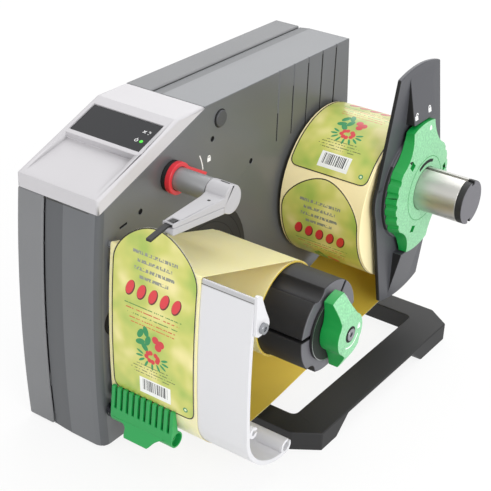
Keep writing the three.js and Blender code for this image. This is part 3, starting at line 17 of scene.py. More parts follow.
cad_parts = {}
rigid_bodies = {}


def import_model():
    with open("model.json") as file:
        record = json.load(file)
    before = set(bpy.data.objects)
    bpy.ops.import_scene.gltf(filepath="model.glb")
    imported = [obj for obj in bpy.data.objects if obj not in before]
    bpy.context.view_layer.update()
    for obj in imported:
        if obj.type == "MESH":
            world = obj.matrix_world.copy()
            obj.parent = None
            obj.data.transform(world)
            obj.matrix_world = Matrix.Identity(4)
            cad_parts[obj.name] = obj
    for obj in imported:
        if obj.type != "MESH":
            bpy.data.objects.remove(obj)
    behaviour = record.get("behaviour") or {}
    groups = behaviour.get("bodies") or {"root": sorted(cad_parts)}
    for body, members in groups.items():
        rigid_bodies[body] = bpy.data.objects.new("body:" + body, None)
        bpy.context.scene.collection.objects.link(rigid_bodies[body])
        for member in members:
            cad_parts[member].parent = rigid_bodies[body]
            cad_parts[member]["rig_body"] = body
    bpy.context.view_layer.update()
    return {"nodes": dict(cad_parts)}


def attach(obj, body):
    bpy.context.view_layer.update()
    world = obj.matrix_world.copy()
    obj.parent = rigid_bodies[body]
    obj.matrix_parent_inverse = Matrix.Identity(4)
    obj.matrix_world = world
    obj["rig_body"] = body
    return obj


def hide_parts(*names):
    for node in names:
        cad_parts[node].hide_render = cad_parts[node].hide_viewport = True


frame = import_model()
nodes = frame["nodes"]

# %% [markdown]
# ## Units and places
# Blender works in metres. The machine is easier to think of in millimetres, with x measured
# from the right face of the housing, y from the front and z from the table. One function
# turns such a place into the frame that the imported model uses, and another turns it back.

# %% Units and places
MM = 0.001
MACHINE_SHIFT = Vector((-36.0, -177.5, 0.0)) * MM


def spot(x, y, z):
    return Vector((x, y, z)) * MM + MACHINE_SHIFT


def in_mm(point):
    return (point - MACHINE_SHIFT) / MM


print("machine shift", tuple(round(value, 4) for value in MACHINE_SHIFT))

# %% [markdown]
# ## Colours and nodes
# Colours are written the way a screen shows them, as sRGB hex values, while the renderer
# reckons in linear light, so one function converts them all by the sRGB curve. A second small
# function adds a shader node with its settings and links.


# %% Colours and nodes
def linear(colour):
    parts = [(colour >> shift & 255) / 255 for shift in (16, 8, 0)]
    return [p / 12.92 if p <= 0.04045 else ((p + 0.055) / 1.055) ** 2.4 for p in parts] + [1.0]


def add_node(tree, kind, inputs=None, **settings):
    node = tree.nodes.new(kind)
    for name, value in settings.items():
        setattr(node, name, value)
    for socket, value in (inputs or {}).items():
        if isinstance(value, bpy.types.NodeSocket):
            tree.links.new(value, node.inputs[socket])
        else:
            node.inputs[socket].default_value = value
    return node


def new_material(name, roughness, metallic=0.0):
    material = bpy.data.materials.new(name)
    material.use_nodes = True
    shader = material.node_tree.nodes["Principled BSDF"]
    shader.inputs["Roughness"].default_value = roughness
    shader.inputs["Metallic"].default_value = metallic
    return material, material.node_tree, shader


print("grey 0x808184 is", [round(part, 3) for part in linear(0x808184)])

# %% [markdown]
# ## Moulded plastic and painted metal
# Nearly every part of the machine is injection moulded or a painted casting. Up close such
# a surface is never one flat colour: the mould is spark eroded or the paint is sprayed, which
# leaves a fine grain that scatters the gloss, and thick and thin places differ a little in tone.
# A fine noise drives a bump and the roughness, and a wide soft noise drives the tone. Such a
# noise fills space and so fits every piece as it is, while a picture of the surface would need
# each piece unfolded. The grain, its depth and the patches of tone are in millimetres. The real
# grain is about 0.1 mm, too fine to show, so it is drawn coarser.

# %% Moulded plastic and painted metal
GRAIN_GLOSS, GRAIN_BUMP = 0.05, 0.5


def grained(name, colour, roughness, grain=0.7, depth=0.03, tone=0.05, patch=55.0, metallic=0.0):
    material, tree, shader = new_material(name, roughness, metallic)
    place = add_node(tree, "ShaderNodeTexCoord").outputs["Object"]
    fine = add_node(tree, "ShaderNodeTexNoise", {
        "Vector": place, "Scale": 1 / (grain * MM), "Detail": 3.0})
    wide = add_node(tree, "ShaderNodeTexNoise", {
        "Vector": place, "Scale": 1 / (patch * MM), "Detail": 2.0})
    base = linear(colour)
    dark = [part * (1 - tone) for part in base[:3]] + [1.0]
    light = [min(1.0, part * (1 + tone)) for part in base[:3]] + [1.0]
    tones = add_node(tree, "ShaderNodeMix", {
        0: wide.outputs["Fac"], 6: dark, 7: light}, data_type="RGBA")
    tree.links.new(tones.outputs[2], shader.inputs["Base Color"])
    gloss = add_node(tree, "ShaderNodeMapRange", {
        "Value": fine.outputs["Fac"], "To Min": roughness - GRAIN_GLOSS,
        "To Max": roughness + GRAIN_GLOSS})
    tree.links.new(gloss.outputs["Result"], shader.inputs["Roughness"])
    bump = add_node(tree, "ShaderNodeBump", {
        "Height": fine.outputs["Fac"], "Strength": GRAIN_BUMP, "Distance": depth * MM})
    tree.links.new(bump.outputs["Normal"], shader.inputs["Normal"])
    return material


# %% Housing finishes
# Sprayed casting: metal flakes in the paint give it a soft gloss.
sprayed_casting = grained("sprayed_aluminium_casting", 0x6C6E71, 0.36, metallic=0.35)
# Painted shade on the strips and the round corner: a deeper and duller copy of the sprayed paint.
painted_shade_casting = grained("sprayed_casting_painted_shade", 0x595B5E, 0.42, metallic=0.25)
# Spark eroded shell of the rear cover: dull and even.
shell_abs = grained("eroded_abs_shell", 0x7C7D7F, 0.58)
# Operator cover: the same plastic in a pale grey that hides the grain.
cover_abs = grained("eroded_abs_light_grey", 0xC6C4C7, 0.48, tone=0.02)
# Round plug in the casting: a deep grey that is a little duller than the paint.
plug_abs = grained("eroded_abs_deep_grey", 0x444548, 0.5)
# Painted shade in black for holes, grooves, pockets and shaded walls, where hardly any light comes
# back; the clip on the shaft is black too.
shade_and_clip_black = grained("painted_shade_and_clip_black", 0x0B0B0C, 0.7, tone=0.02)
# Smoked acrylic: so smooth that its tone comes mostly from what it mirrors.
window_acrylic = grained("smoked_acrylic", 0x1C1D21, 0.14, depth=0.002)
print("housing finishes", len(bpy.data.materials))

# %% Black and grey finishes
# Glass filled nylon: its fibres lie at the surface and make the black dull.
black_pa = grained("black_glass_filled_nylon", 0x1D1D1E, 0.55)
# Plain nylon of the foot frame: a smoother black with a finer grain.
frame_pa = grained("black_moulded_nylon", 0x1A1A1B, 0.6, grain=0.35, depth=0.015, tone=0.03)
# Rubber: black and almost without gloss.
foot_rubber = grained("moulded_rubber", 0x1C1C1C, 0.85)
# Margin stop: dark grey with a broad gloss along its flat blade.
blade_abs = grained("eroded_abs_dark_grey", 0x4A4B50, 0.44)
# Painted sheen on the end faces of the hub and the shaft's cap: a greyer copy of their black, where
# they catch more light.
end_face_painted_sheen = grained("black_nylon_painted_sheen", 0x65646A, 0.45)
# Sensor arm: a silver grey, smooth to the eye.
arm_abs = grained("eroded_abs_silver_grey", 0xB3B2B5, 0.4, tone=0.02)
# Anodised tube: a dull oxide skin over metal that still mirrors a little.
tube_anodised = grained("anodised_tube", 0x98999B, 0.38, metallic=0.5)
print("with black and grey", len(bpy.data.materials))

# %% Coloured finishes
# Flanks of the knobs: a deep clear green with a soft gloss.
knob_abs = grained("moulded_abs_green", 0x06953F, 0.42, grain=0.8, depth=0.03)
# Painted sheen on the front faces of the knobs: a pale copy of the green for the light they catch,
# speckled by their coarse erosion.
knob_face_painted_sheen = grained(
    "green_abs_painted_sheen", 0x8CCB9C, 0.5, grain=0.9, depth=0.12, tone=0.4, patch=1.6)
# Acetal comb: waxy, and shinier than the knobs.
comb_pom = grained("moulded_acetal_green", 0x1C9B4C, 0.36)
# Acetal lever and rocker: the same waxy gloss in red.
lever_pom = grained("moulded_acetal_red", 0xD8303B, 0.33)
# Solder resist: a smooth green film over the copper of a board.
board_mask = grained("solder_resist", 0x1F5F3A, 0.4)
# Board of the roll's core: matt brown, with a coarse paper grain.
card_board = grained("wound_core_board", 0xB79F74, 0.9, grain=1.2, depth=0.1)
# Pad printing: an even film of ink with a faint gloss.
mark_white = grained("pad_printed_white", 0xF2F2F2, 0.5, tone=0.01)
mark_dark = grained("printed_dark_line", 0x2A2618, 0.45, tone=0.01)
print("moulded, painted and printed finishes", len(bpy.data.materials))

# %% [markdown]
# ## Bare metal
# The supply shaft is turned aluminium: the tool leaves rings round its axis that stretch a
# highlight along the shaft. The dispensing plate is an extrusion, anodised pale and almost
# white, with faint draw lines. Both come from a wave texture along one axis, because a noise
# has no direction. Real tool marks are 0.1 to 0.2 mm apart, so they are drawn coarser, and
# shallow enough to stay faint. A ring is half a wave: from a dark band to the next light one.

# %% Bare metal
# At scale 1 the wave texture goes from dark to light in pi / 20 of a metre.
HALF_WAVE = math.pi / 20
TOOL_GLOSS, TOOL_BUMP = 0.04, 0.4


def machined(name, colour, roughness, ring=0.9, along="X", depth=0.01, metallic=1.0, tone=0.06):
    material, tree, shader = new_material(name, roughness, metallic)
    place = add_node(tree, "ShaderNodeTexCoord").outputs["Object"]
    rings = add_node(tree, "ShaderNodeTexWave", {
        "Vector": place, "Scale": HALF_WAVE / (ring * MM), "Distortion": 1.5,
        "Detail": 2.0, "Detail Scale": 3.0}, bands_direction=along)
    base = linear(colour)
    dark = [part * (1 - tone) for part in base[:3]] + [1.0]
    tones = add_node(tree, "ShaderNodeMix", {
        0: rings.outputs["Fac"], 6: dark, 7: base}, data_type="RGBA")
    tree.links.new(tones.outputs[2], shader.inputs["Base Color"])
    bump = add_node(tree, "ShaderNodeBump", {
        "Height": rings.outputs["Fac"], "Strength": TOOL_BUMP, "Distance": depth * MM})
    tree.links.new(bump.outputs["Normal"], shader.inputs["Normal"])
    gloss = add_node(tree, "ShaderNodeMapRange", {
        "Value": rings.outputs["Fac"], "To Min": roughness - TOOL_GLOSS,
        "To Max": roughness + TOOL_GLOSS})
    tree.links.new(gloss.outputs["Result"], shader.inputs["Roughness"])
    return material


# Turned aluminium: bright, with a highlight drawn out along the shaft.
turned_aluminium = machined("turned_aluminium", 0xC9C7C3, 0.4, ring=0.5, depth=0.002, tone=0.02)
# Anodised extrusion: the oxide makes it pale and satin, hardly a mirror any more.
anodised_plate = machined(
    "anodised_extrusion", 0xDCDCDF, 0.4, along="Z", depth=0.002, metallic=0.2, tone=0.01)
# Ground steel: the bright strip that the labels peel off at.
bright_edge = machined("ground_steel_edge", 0xC6C6C8, 0.3, ring=0.4, depth=0.001, tone=0.01)
# Zinc plating on screws and small fittings: a cool bright grey.
zinc_steel = machined("zinc_plated_steel", 0x9B9DA1, 0.28, ring=1.4)
# Spring steel blued by heat: nearly black, with a metal's gloss.
blued_steel = machined("blued_spring_steel", 0x3A3B40, 0.4, ring=1.4)
print("with metals", len(bpy.data.materials))

# %% [markdown]
# ## Status light
# The status light is a small moulded lens in front of a green lamp. It glows only weakly in a
# bright studio, so its green comes from its colour and only a little from its own light. A
# fine noise of a millimetre makes the light uneven, as the clear plastic does.

# %% Status light
lamp_green, lamp_tree, lamp_shader = new_material("lit_green_lens", 0.25)
lamp_place = add_node(lamp_tree, "ShaderNodeTexCoord").outputs["Object"]
lamp_noise = add_node(lamp_tree, "ShaderNodeTexNoise", {"Vector": lamp_place, "Scale": 1 / MM})
lamp_tone = add_node(lamp_tree, "ShaderNodeMix", {
    0: lamp_noise.outputs["Fac"], 6: linear(0x2FB52A), 7: linear(0x66E24F)}, data_type="RGBA")
lamp_tree.links.new(lamp_tone.outputs[2], lamp_shader.inputs["Base Color"])
lamp_shader.inputs["Emission Color"].default_value = linear(0x3FD838)
lamp_shader.inputs["Emission Strength"].default_value = 0.35
print("lens nodes", len(lamp_tree.nodes))

# %% [markdown]
# ## Liner paper
# The liner is a thin glazed paper, honey yellow and slightly glossy. Where it runs free it
# takes soft waves about 60 mm long, which a wide bump gives, and its fibres, drawn 1.5 mm
# coarse, break up the gloss. Its outer face, which carries the labels, has a pale silicone
# film, while the bare inner face is a deeper yellow. Some light comes through the sheet, and
# blue light the least.

# %% Liner paper
WAVE_LENGTH, WAVE_DEPTH, WAVE_BUMP = 60.0, 1.2, 0.25
FIBRE, FIBRE_GLOSS = 1.5, 0.06
LIGHT_REACH = 1.2


def liner(name, light, deep, roughness=0.42, glow=0.0):
    material, tree, shader = new_material(name, roughness)
    shader.inputs["Subsurface Weight"].default_value = glow
    shader.inputs["Subsurface Radius"].default_value = (1.0, 0.85, 0.35)
    shader.inputs["Subsurface Scale"].default_value = LIGHT_REACH * MM
    place = add_node(tree, "ShaderNodeTexCoord").outputs["Object"]
    wide = add_node(tree, "ShaderNodeTexNoise", {
        "Vector": place, "Scale": 1 / (WAVE_LENGTH * MM), "Detail": 2.0})
    fibre = add_node(tree, "ShaderNodeTexNoise", {
        "Vector": place, "Scale": 1 / (FIBRE * MM), "Detail": 4.0})
    tones = add_node(tree, "ShaderNodeMix", {
        0: wide.outputs["Fac"], 6: linear(deep), 7: linear(light)}, data_type="RGBA")
    tree.links.new(tones.outputs[2], shader.inputs["Base Color"])
    gloss = add_node(tree, "ShaderNodeMapRange", {
        "Value": fibre.outputs["Fac"], "To Min": roughness - FIBRE_GLOSS,
        "To Max": roughness + FIBRE_GLOSS})
    tree.links.new(gloss.outputs["Result"], shader.inputs["Roughness"])
    bump = add_node(tree, "ShaderNodeBump", {
        "Height": wide.outputs["Fac"], "Strength": WAVE_BUMP, "Distance": WAVE_DEPTH * MM})
    tree.links.new(bump.outputs["Normal"], shader.inputs["Normal"])
    return material


# Silicone film: a pale glossy face that the labels come off easily.
glassine = liner("siliconed_liner_face", 0xFFF4C4, 0xF7E6A4, 0.3, glow=0.5)
# Bare back: the paper's own golden yellow, duller.
liner_back = liner("bare_liner_back", 0xE9CC52, 0xCDB24A, 0.4, glow=0.5)
# Edges and outside of the full roll: the same paper, too thick for light to come through.
wound_glassine = liner("wound_liner_paper", 0xFFF3C4, 0xFFECB2)
# Unprinted margin of a label: coated paper with a light green tint.
label_margin = liner("coated_paper_margin", 0xE9E3A6, 0xDFD78C, 0.35)
# Back of a label: white paper under its adhesive.
label_back = liner("adhesive_paper_back", 0xEFEFE6, 0xE4E4DA, 0.5)
print("with papers", len(bpy.data.materials))

# %% [markdown]
# ## Label print
# The labels are coated paper with a printed picture. This print is plain and generic: a soft
# green ground, a row of red drops, a sprig with berries, rows of thin dashes and a block of
# bars. A pattern in space would not bend with the label, so all of it is drawn in the label's
# own UV map, whose unit is one millimetre. Each number below is then a place or a size on the
# flat label.

# %% Label ground
LABEL_WIDTH, LABEL_LENGTH = 76.0, 144.0
CLOUD_SIZE = 34.0
label_print, print_tree, print_shader = new_material("coated_label_print", 0.3)
print_shader.inputs["Coat Weight"].default_value = 0.25
flat_place = add_node(print_tree, "ShaderNodeUVMap", uv_map="print").outputs["UV"]
flat_parts = add_node(print_tree, "ShaderNodeSeparateXYZ", {0: flat_place})
clouds = add_node(print_tree, "ShaderNodeTexNoise", {
    "Vector": flat_place, "Scale": 1 / CLOUD_SIZE, "Detail": 2.0})
ground = add_node(print_tree, "ShaderNodeValToRGB", {0: clouds.outputs["Fac"]})
ground.color_ramp.elements.new(0.5)
GROUND_TONES = [(0.32, 0x9CBA50), (0.5, 0xCCCE6A), (0.68, 0xF0E5A0)]
for stop, (position, colour) in zip(ground.color_ramp.elements, GROUND_TONES):
    stop.position = position
    stop.color = linear(colour)
print_layers = [ground.outputs["Color"]]
print("ground tones", len(ground.color_ramp.elements))


# %% Printing an oval
def print_over(colour, mask):
    mixed = add_node(print_tree, "ShaderNodeMix", {
        0: mask, 6: print_layers[-1], 7: linear(colour)}, data_type="RGBA")
    print_layers.append(mixed.outputs[2])


def print_oval(colour, x, y, wide, high, turn=0.0):
    local = add_node(print_tree, "ShaderNodeMapping", {
        "Vector": flat_place, "Location": (x, y, 0), "Rotation": (0, 0, math.radians(turn)),
        "Scale": (wide, high, 1)}, vector_type="TEXTURE")
    reach = add_node(print_tree, "ShaderNodeVectorMath", {0: local.outputs[0]}, operation="LENGTH")
    inside = add_node(print_tree, "ShaderNodeMath", {
        0: reach.outputs["Value"], 1: 1.0}, operation="LESS_THAN")
    print_over(colour, inside.outputs[0])


print("an oval is printed over", print_layers[-1].node.name)


# %% Printing a bar
def print_bar(colour, x, y, wide, high, pattern=None):
    level = add_node(print_tree, "ShaderNodeMath", {
        0: flat_parts.outputs["X"], 1: x, 2: wide / 2}, operation="COMPARE")
    height = add_node(print_tree, "ShaderNodeMath", {
        0: flat_parts.outputs["Y"], 1: y, 2: high / 2}, operation="COMPARE")
    inside = add_node(print_tree, "ShaderNodeMath", {
        0: level.outputs[0], 1: height.outputs[0]}, operation="MULTIPLY").outputs[0]
    if pattern:
        inside = add_node(print_tree, "ShaderNodeMath", {
            0: inside, 1: pattern}, operation="MULTIPLY").outputs[0]
    print_over(colour, inside)


def broken_line(spacing, limit, row_pitch=3.1):
    stretched = add_node(print_tree, "ShaderNodeMapping", {
        "Vector": flat_place, "Scale": (1 / spacing, 1 / row_pitch, 1)})
    spots = add_node(print_tree, "ShaderNodeTexNoise", {
        "Vector": stretched.outputs[0], "Scale": 1.0, "Detail": 0.0})
    return add_node(print_tree, "ShaderNodeMath", {
        0: spots.outputs["Fac"], 1: limit}, operation="GREATER_THAN").outputs[0]


text_dashes = broken_line(1.3, 0.44)
print("dash nodes", len(print_tree.nodes))

# %% Dashes and drops
LABEL_MIDDLE = LABEL_WIDTH / 2
DROP_PITCH, DROP_RISE, DROP_TURN = 10.5, 0.4, -24
for row, wide in enumerate([40, 31, 36, 26]):
    print_bar(0x8B8F83, LABEL_MIDDLE, 122 - 6.2 * row, wide, 2.6, text_dashes)
for drop in range(5):
    shift, fall = DROP_PITCH * drop, DROP_RISE * drop
    print_oval(0x5E1B18, 17.0 + shift, 92 - fall, 3.7, 7.0, DROP_TURN)
    print_oval(0xD9303A, 16.6 + shift, 92.4 - fall, 3.1, 6.3, DROP_TURN)
for row, colour in enumerate([0x5E8C3C, 0xC9572E, 0x5E8C3C, 0xC9572E, 0xD0662E]):
    print_bar(colour, LABEL_MIDDLE, 79.5 - 3.6 * row, 52 - 3 * row, 0.9, text_dashes)
print("layers of print", len(print_layers))

# %% Sprig and berries
LEAF_STEP, BERRY_STEP = 27.5, 2.4
for x, y, turn in [(27, 58, 60), (32, 61, 110), (27, 51, 20), (34, 54, 70), (31, 48, 130)]:
    print_oval(0x168A4C, x, y, 4.4, 2.4, turn)
for x, y in [(41, 57), (46, 55), (43.5, 51.5)]:
    print_oval(0xD03038, x, y, 3.1, 3.1)
for leaf in range(9):
    turn = LEAF_STEP * leaf - 20
    x = LABEL_MIDDLE + 12 * math.cos(math.radians(turn))
    y = 40 - 7 * math.sin(math.radians(turn))
    print_oval(0x1E8F50, x, y, 3.2, 1.0, -turn)
for berry in range(9):
    x = LABEL_MIDDLE + 5.4 * math.cos(berry * BERRY_STEP)
    y = 41 + 3.6 * math.sin(berry * BERRY_STEP)
    print_oval(0xD22F33, x, y, 2.0, 2.0)
print("layers with sprig", len(print_layers))

# %% Foot of the label
for row, wide in enumerate([30, 36, 42, 34]):
    print_bar(0x5C6A3A, LABEL_MIDDLE, 31.5 - 2.6 * row, wide, 0.7, text_dashes)
print_bar(0xF2F3F0, 40, 13, 29, 14)
print_bar(0x2B2D30, 40, 14, 23, 9.5, broken_line(0.8, 0.5, 900))
print_oval(0x2E8B57, 68, 7.5, 2.1, 2.1)
print_oval(0xDDE9C0, 68, 7.5, 1.1, 1.1)
print_tree.links.new(print_layers[-1], print_shader.inputs["Base Color"])
print("print nodes", len(print_tree.nodes))

# %% [markdown]
# ## Finishing a piece
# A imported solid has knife-sharp edges, while a moulded or cast one has small rounds that
# catch the light. They could be modelled by hand, but a finished piece is quicker and surer as
# a copy of the solid: its loose triangles are welded, flat areas are merged, and those with
# more than four corners are split again, because a bevel can spoil many-sided faces. A Bevel
# modifier then rounds the edges, and weighted normals keep the flat areas flat beside them.

# %% A welded copy of a solid
WELD, FLAT = 0.002 * MM, math.radians(0.5)
MOST_CORNERS = 4


def welded(node):
    shape = bmesh.new()
    shape.from_mesh(nodes[node].data)
    bmesh.ops.remove_doubles(shape, verts=shape.verts, dist=WELD)
    bmesh.ops.dissolve_limit(shape, angle_limit=FLAT, verts=shape.verts, edges=shape.edges)
    large = [face for face in shape.faces if len(face.verts) > MOST_CORNERS]
    bmesh.ops.triangulate(shape, faces=large)
    return shape


print("points closer than", round(WELD / MM, 3), "mm are welded")

# %% Finishing a piece
CREASE = math.radians(31)


def finished(name, shape, looks, node, round_mm=0.0, steps=2, stands_for=True, pick=None):
    if pick:
        shape.normal_update()
        for face in shape.faces:
            face.material_index = pick(face)
    mesh = bpy.data.meshes.new(name)
    shape.to_mesh(mesh)
    shape.free()
    for look in looks:
        mesh.materials.append(look)
    mesh.polygons.foreach_set("use_smooth", [True] * len(mesh.polygons))
    mesh.set_sharp_from_angle(angle=CREASE)
    piece = bpy.data.objects.new(name, mesh)
    bpy.context.scene.collection.objects.link(piece)
    if round_mm:
        rounding = piece.modifiers.new("rounding", "BEVEL")
        rounding.width = round_mm * MM
        rounding.segments = steps
        rounding.limit_method = "ANGLE"
        rounding.angle_limit = CREASE
        rounding.use_clamp_overlap = False
    weighted = piece.modifiers.new("weighted", "WEIGHTED_NORMAL")
    weighted.keep_sharp = True
    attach(piece, nodes[node]["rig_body"])
    if stands_for:
        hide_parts(node)
    return piece


print("edges over", round(math.degrees(CREASE)), "degrees are rounded")


# %% Reading and dressing a solid
def right_end(node):
    return (max(v.co.x for v in nodes[node].data.vertices) - MACHINE_SHIFT.x) / MM


def dress(look, *names):
    for name in names:
        nodes[name].material_slots[0].material = look


print("casting's right face at", round(right_end("chassis"), 1))

# %% [markdown]
# ## Pieces that need only rounded edges
# Many pieces already have their shape, and only want the right edge rounds and finish. They
# could be modelled anew, but a rounded copy looks as good. Each row gives the solid, its finish
# and the radius of its edges in millimetres. Small fittings and pieces inside the housing keep
# their solid and only get a finish.

# %% Pieces that need only rounded edges
for node, look, rounding in [
    ("front_foot_pad", foot_rubber, 0.6), ("back_foot_pad", foot_rubber, 0.6),
    ("round_cap", plug_abs, 0.4), ("display_window", window_acrylic, 0.2),
    ("status_light", lamp_green, 0.3), ("dispense_edge", bright_edge, 0.1),
    ("end_bracket", anodised_plate, 0.3), ("bracket_screw", zinc_steel, 0.25),
    ("unwind_shaft", turned_aluminium, 0.35), ("retaining_disc", black_pa, 0.4),
    ("rewind_flange", black_pa, 0.4), ("knob_screw", zinc_steel, 0.3),
    ("sensor_bush", black_pa, 0.4), ("sensor_tube", tube_anodised, 0.3),
    ("sensor_lever", lever_pom, 0.5), ("sensor_arm_upper", arm_abs, 0.8),
    ("sensor_arm_lower", arm_abs, 0.5), ("sensor_finger", black_pa, 0.3),
    ("brake_comb", comb_pom, 0.25), ("foot_frame", frame_pa, 0.9),
    ("power_rocker", lever_pom, 0.3), ("switch_frame", black_pa, 0.3),
    ("power_inlet", black_pa, 0.5), ("interface_socket", zinc_steel, 0.3),
]:
    finished(f"{node}_surface", welded(node), [look], node, rounding)

# %% Fittings that keep their solid
dress(zinc_steel, "plate_screw_low", "plate_screw_high", "frame_screw_front", "frame_screw_back",
      "shaft_bolt", "rewind_shaft", "bearing_inner", "bearing_outer", "motor_bracket")
dress(blued_steel, "comb_shaft", "comb_spring")
dress(turned_aluminium, "bearing_block", "power_supply")
dress(black_pa, "motor", "rewind_pulley", "motor_pulley")
dress(foot_rubber, "drive_belt")
dress(board_mask, "display_board", "control_board")
dress(card_board, "roll_core")
print("core's finish is", nodes["roll_core"].material_slots[0].material.name)

# %% [markdown]
# ## Knobs and hub
# The eroded front faces of the knobs catch the light from the right, and that sheen is painted into
# a pale copy of their green, while their smooth flanks stay a deep green. The hub's end faces get a
# greyer painted sheen in the same way, and the three pockets in the margin knob take painted shade
# in black. A piece can carry several finishes, so it needn't be cut up: such faces are picked by
# the way that they look, and the pockets by their place, and each takes its own material slot.

# %% Faces by the way they look
SHAFT_Y, SHAFT_Z = 295.0, 150.0
FACING = 0.8
POCKET_REACH, POCKET_HALF, POCKET_TURN, POCKET_SPREAD = 40.0, 4.2, 7.0, 6.5
FLANK, FRONT, POCKET_SHADE = range(3)


def looks_right(face):
    return FRONT if face.normal.x > FACING else FLANK


def in_pocket(v):
    x, y, z = in_mm(v.co)
    reach = math.hypot(y - SHAFT_Y, z - SHAFT_Z)
    turn = math.degrees(math.atan2(z - SHAFT_Z, y - SHAFT_Y)) - POCKET_TURN
    return abs(reach - POCKET_REACH) < POCKET_HALF and abs((turn + 60) % 120 - 60) < POCKET_SPREAD


# Faces inside the pockets take painted shade in black.
def knob_look(face):
    return POCKET_SHADE if all(in_pocket(v) for v in face.verts) else looks_right(face)


# Faces of the margin stop that face the front, such as the rib's steep flank, take painted shade in
# black.
def blade_look(face):
    return int(face.normal.y < -FACING)


print("pockets", POCKET_REACH, "mm from the knob's middle")

# %% [markdown]
# ## Margin knob
# The knob's flank is not straight: behind its front face it widens a little towards the
# stop, so that the moulding comes out of its tool. The solid's flank is straight, so the
# points behind the front face are moved outwards, less and less towards the tips of the grip.

# %% Margin knob
FLARE, FLARE_FROM, FLARE_TO, FLARE_FADE, FLARE_DEPTH = 0.06, 36.0, 59.0, 9.0, 8.0
knob = welded("margin_knob")
knob_front = right_end("margin_knob")
for v in knob.verts:
    x, y, z = in_mm(v.co)
    off = Vector((y - SHAFT_Y, z - SHAFT_Z))
    if x < knob_front - FLARE_DEPTH and off.length > FLARE_FROM:
        off *= 1 + FLARE * min(1.0, max(0.0, (FLARE_TO - off.length) / FLARE_FADE))
        v.co = spot(x, SHAFT_Y + off.x, SHAFT_Z + off.y)
finished("margin_knob_surface", knob, [knob_abs, knob_face_painted_sheen, shade_and_clip_black],
         "margin_knob", 0.25, pick=knob_look)
print("margin knob's front at", round(knob_front, 1))

# %% Hub, its knob, the stop and the shaft's cap
finished("rewind_knob_surface", welded("rewind_knob"), [knob_abs, knob_face_painted_sheen],
         "rewind_knob", 0.5, pick=looks_right)
for number in (1, 2, 3):
    node = f"hub_segment_{number}"
    finished(f"{node}_surface", welded(node), [black_pa, end_face_painted_sheen], node, 0.8, pick=looks_right)
finished("margin_stop_surface", welded("margin_stop"), [blade_abs, shade_and_clip_black],
         "margin_stop", 0.9, pick=blade_look)
finished("shaft_end_cap_surface", welded("shaft_end_cap"), [black_pa, end_face_painted_sheen],
         "shaft_end_cap", 0.6, pick=looks_right)

# %% [markdown]
# ## Operator cover
# The cover is a thin pale moulding. Its outer edges have wide soft rounds, the edges of the
# pocket and of the window's rebate only small ones, and its foot, which meets the casting,
# is almost sharp. One width for all of them would look wrong, so a bevel weight on each edge
# tells the modifier how wide to round it. Outer edges are told by their distance from the
# cover's middle and by the way that their faces look.

# %% Operator cover
COVER_ROUND, COVER_STEPS = 2.2, 3
COVER_MIDDLE, COVER_REACH, LONG_EDGE = -39.0, 38.5, 10.0
OUTER_WEIGHT, POCKET_WEIGHT = 1.0, 0.2
STRAIGHT, RISING = 0.9, 0.3
cover = welded("operator_cover")
weights = cover.edges.layers.float.new("bevel_weight_edge")
for edge in cover.edges:
    if len(edge.link_faces) != 2 or edge.calc_face_angle(0) < CREASE:
        continue
    sides = [abs(face.normal.x) > STRAIGHT for face in edge.link_faces]
    ups = [face.normal.z > RISING or face.normal.y < -STRAIGHT for face in edge.link_faces]
    start, end = (v.co.x for v in edge.verts)
    off = abs((start - MACHINE_SHIFT.x) / MM - COVER_MIDDLE)
    if off > COVER_REACH and any(sides) and any(ups):
        edge[weights] = OUTER_WEIGHT
    elif abs(start - end) > LONG_EDGE * MM:
        edge[weights] = POCKET_WEIGHT
cover_piece = finished(
    "operator_cover_surface", cover, [cover_abs], "operator_cover", COVER_ROUND, COVER_STEPS)
cover_piece.modifiers["rounding"].limit_method = "WEIGHT"
print("cover edges", len(cover_piece.data.edges))

# %% [markdown]
# ## Rear cover
# The seam between the two halves of the housing is a clear dark line about a millimetre wide. A
# dark strip could be laid over it, but a real gap makes its own shade. So the rear cover's right
# edge stays back from the seam by half a millimetre, and the casting's step beside the seam takes
# painted shade in black as well.

# %% Rear cover
SEAM_BACK = 0.5
NEAR = 0.1 * MM
rear = welded("rear_cover")
rear_right = max(v.co.x for v in rear.verts)
for v in rear.verts:
    if v.co.x > rear_right - NEAR:
        v.co.x -= SEAM_BACK * MM
finished("rear_cover_surface", rear, [shell_abs], "rear_cover", 1.2)
print("rear cover ends", SEAM_BACK, "mm before the seam")

# %% [markdown]
# ## Dispensing plate
# The plate is a bowed extrusion that the liner runs over. The liner hides its left end. The
# solid runs right up to the housing, so its end points are moved back to where the real plate
# stops, a little short of the housing.

# %% Dispensing plate
PLATE_END = 3.4
plate = welded("dispense_plate")
plate_left = min(v.co.x for v in plate.verts)
for v in plate.verts:
    if v.co.x < plate_left + NEAR:
        v.co.x = MACHINE_SHIFT.x + PLATE_END * MM
finished("dispense_plate_surface", plate, [anodised_plate], "dispense_plate", 0.3)
print("plate starts", PLATE_END, "mm from the housing")

# %% [markdown]
# ## Liner web
# The liner runs from the roll round the plate to the rewinder. The machine keeps it tight, so
# it needs no cloth simulation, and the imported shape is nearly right. Only its left edge
# wanders out over the front by a millimetre and comes back before it reaches the rewinder, so
# the points of that edge are moved. A face of the web that looks towards the middle of its
# loop shows the liner's bare back.

# %% Liner web
WEB_LEFT = 5.5
WEB_SPREAD, SPREAD_FULL, SPREAD_NONE = 1.2, 55.0, 80.0
LOOP_Y, LOOP_Z = 90.0, 100.0
web = welded("label_web")
for v in web.verts:
    x, y, z = in_mm(v.co)
    if x < WEB_LEFT:
        part = min(1.0, max(0.0, (SPREAD_NONE - y) / (SPREAD_NONE - SPREAD_FULL)))
        v.co.x -= WEB_SPREAD * part * MM


def middle(face):
    return in_mm(face.calc_center_median())


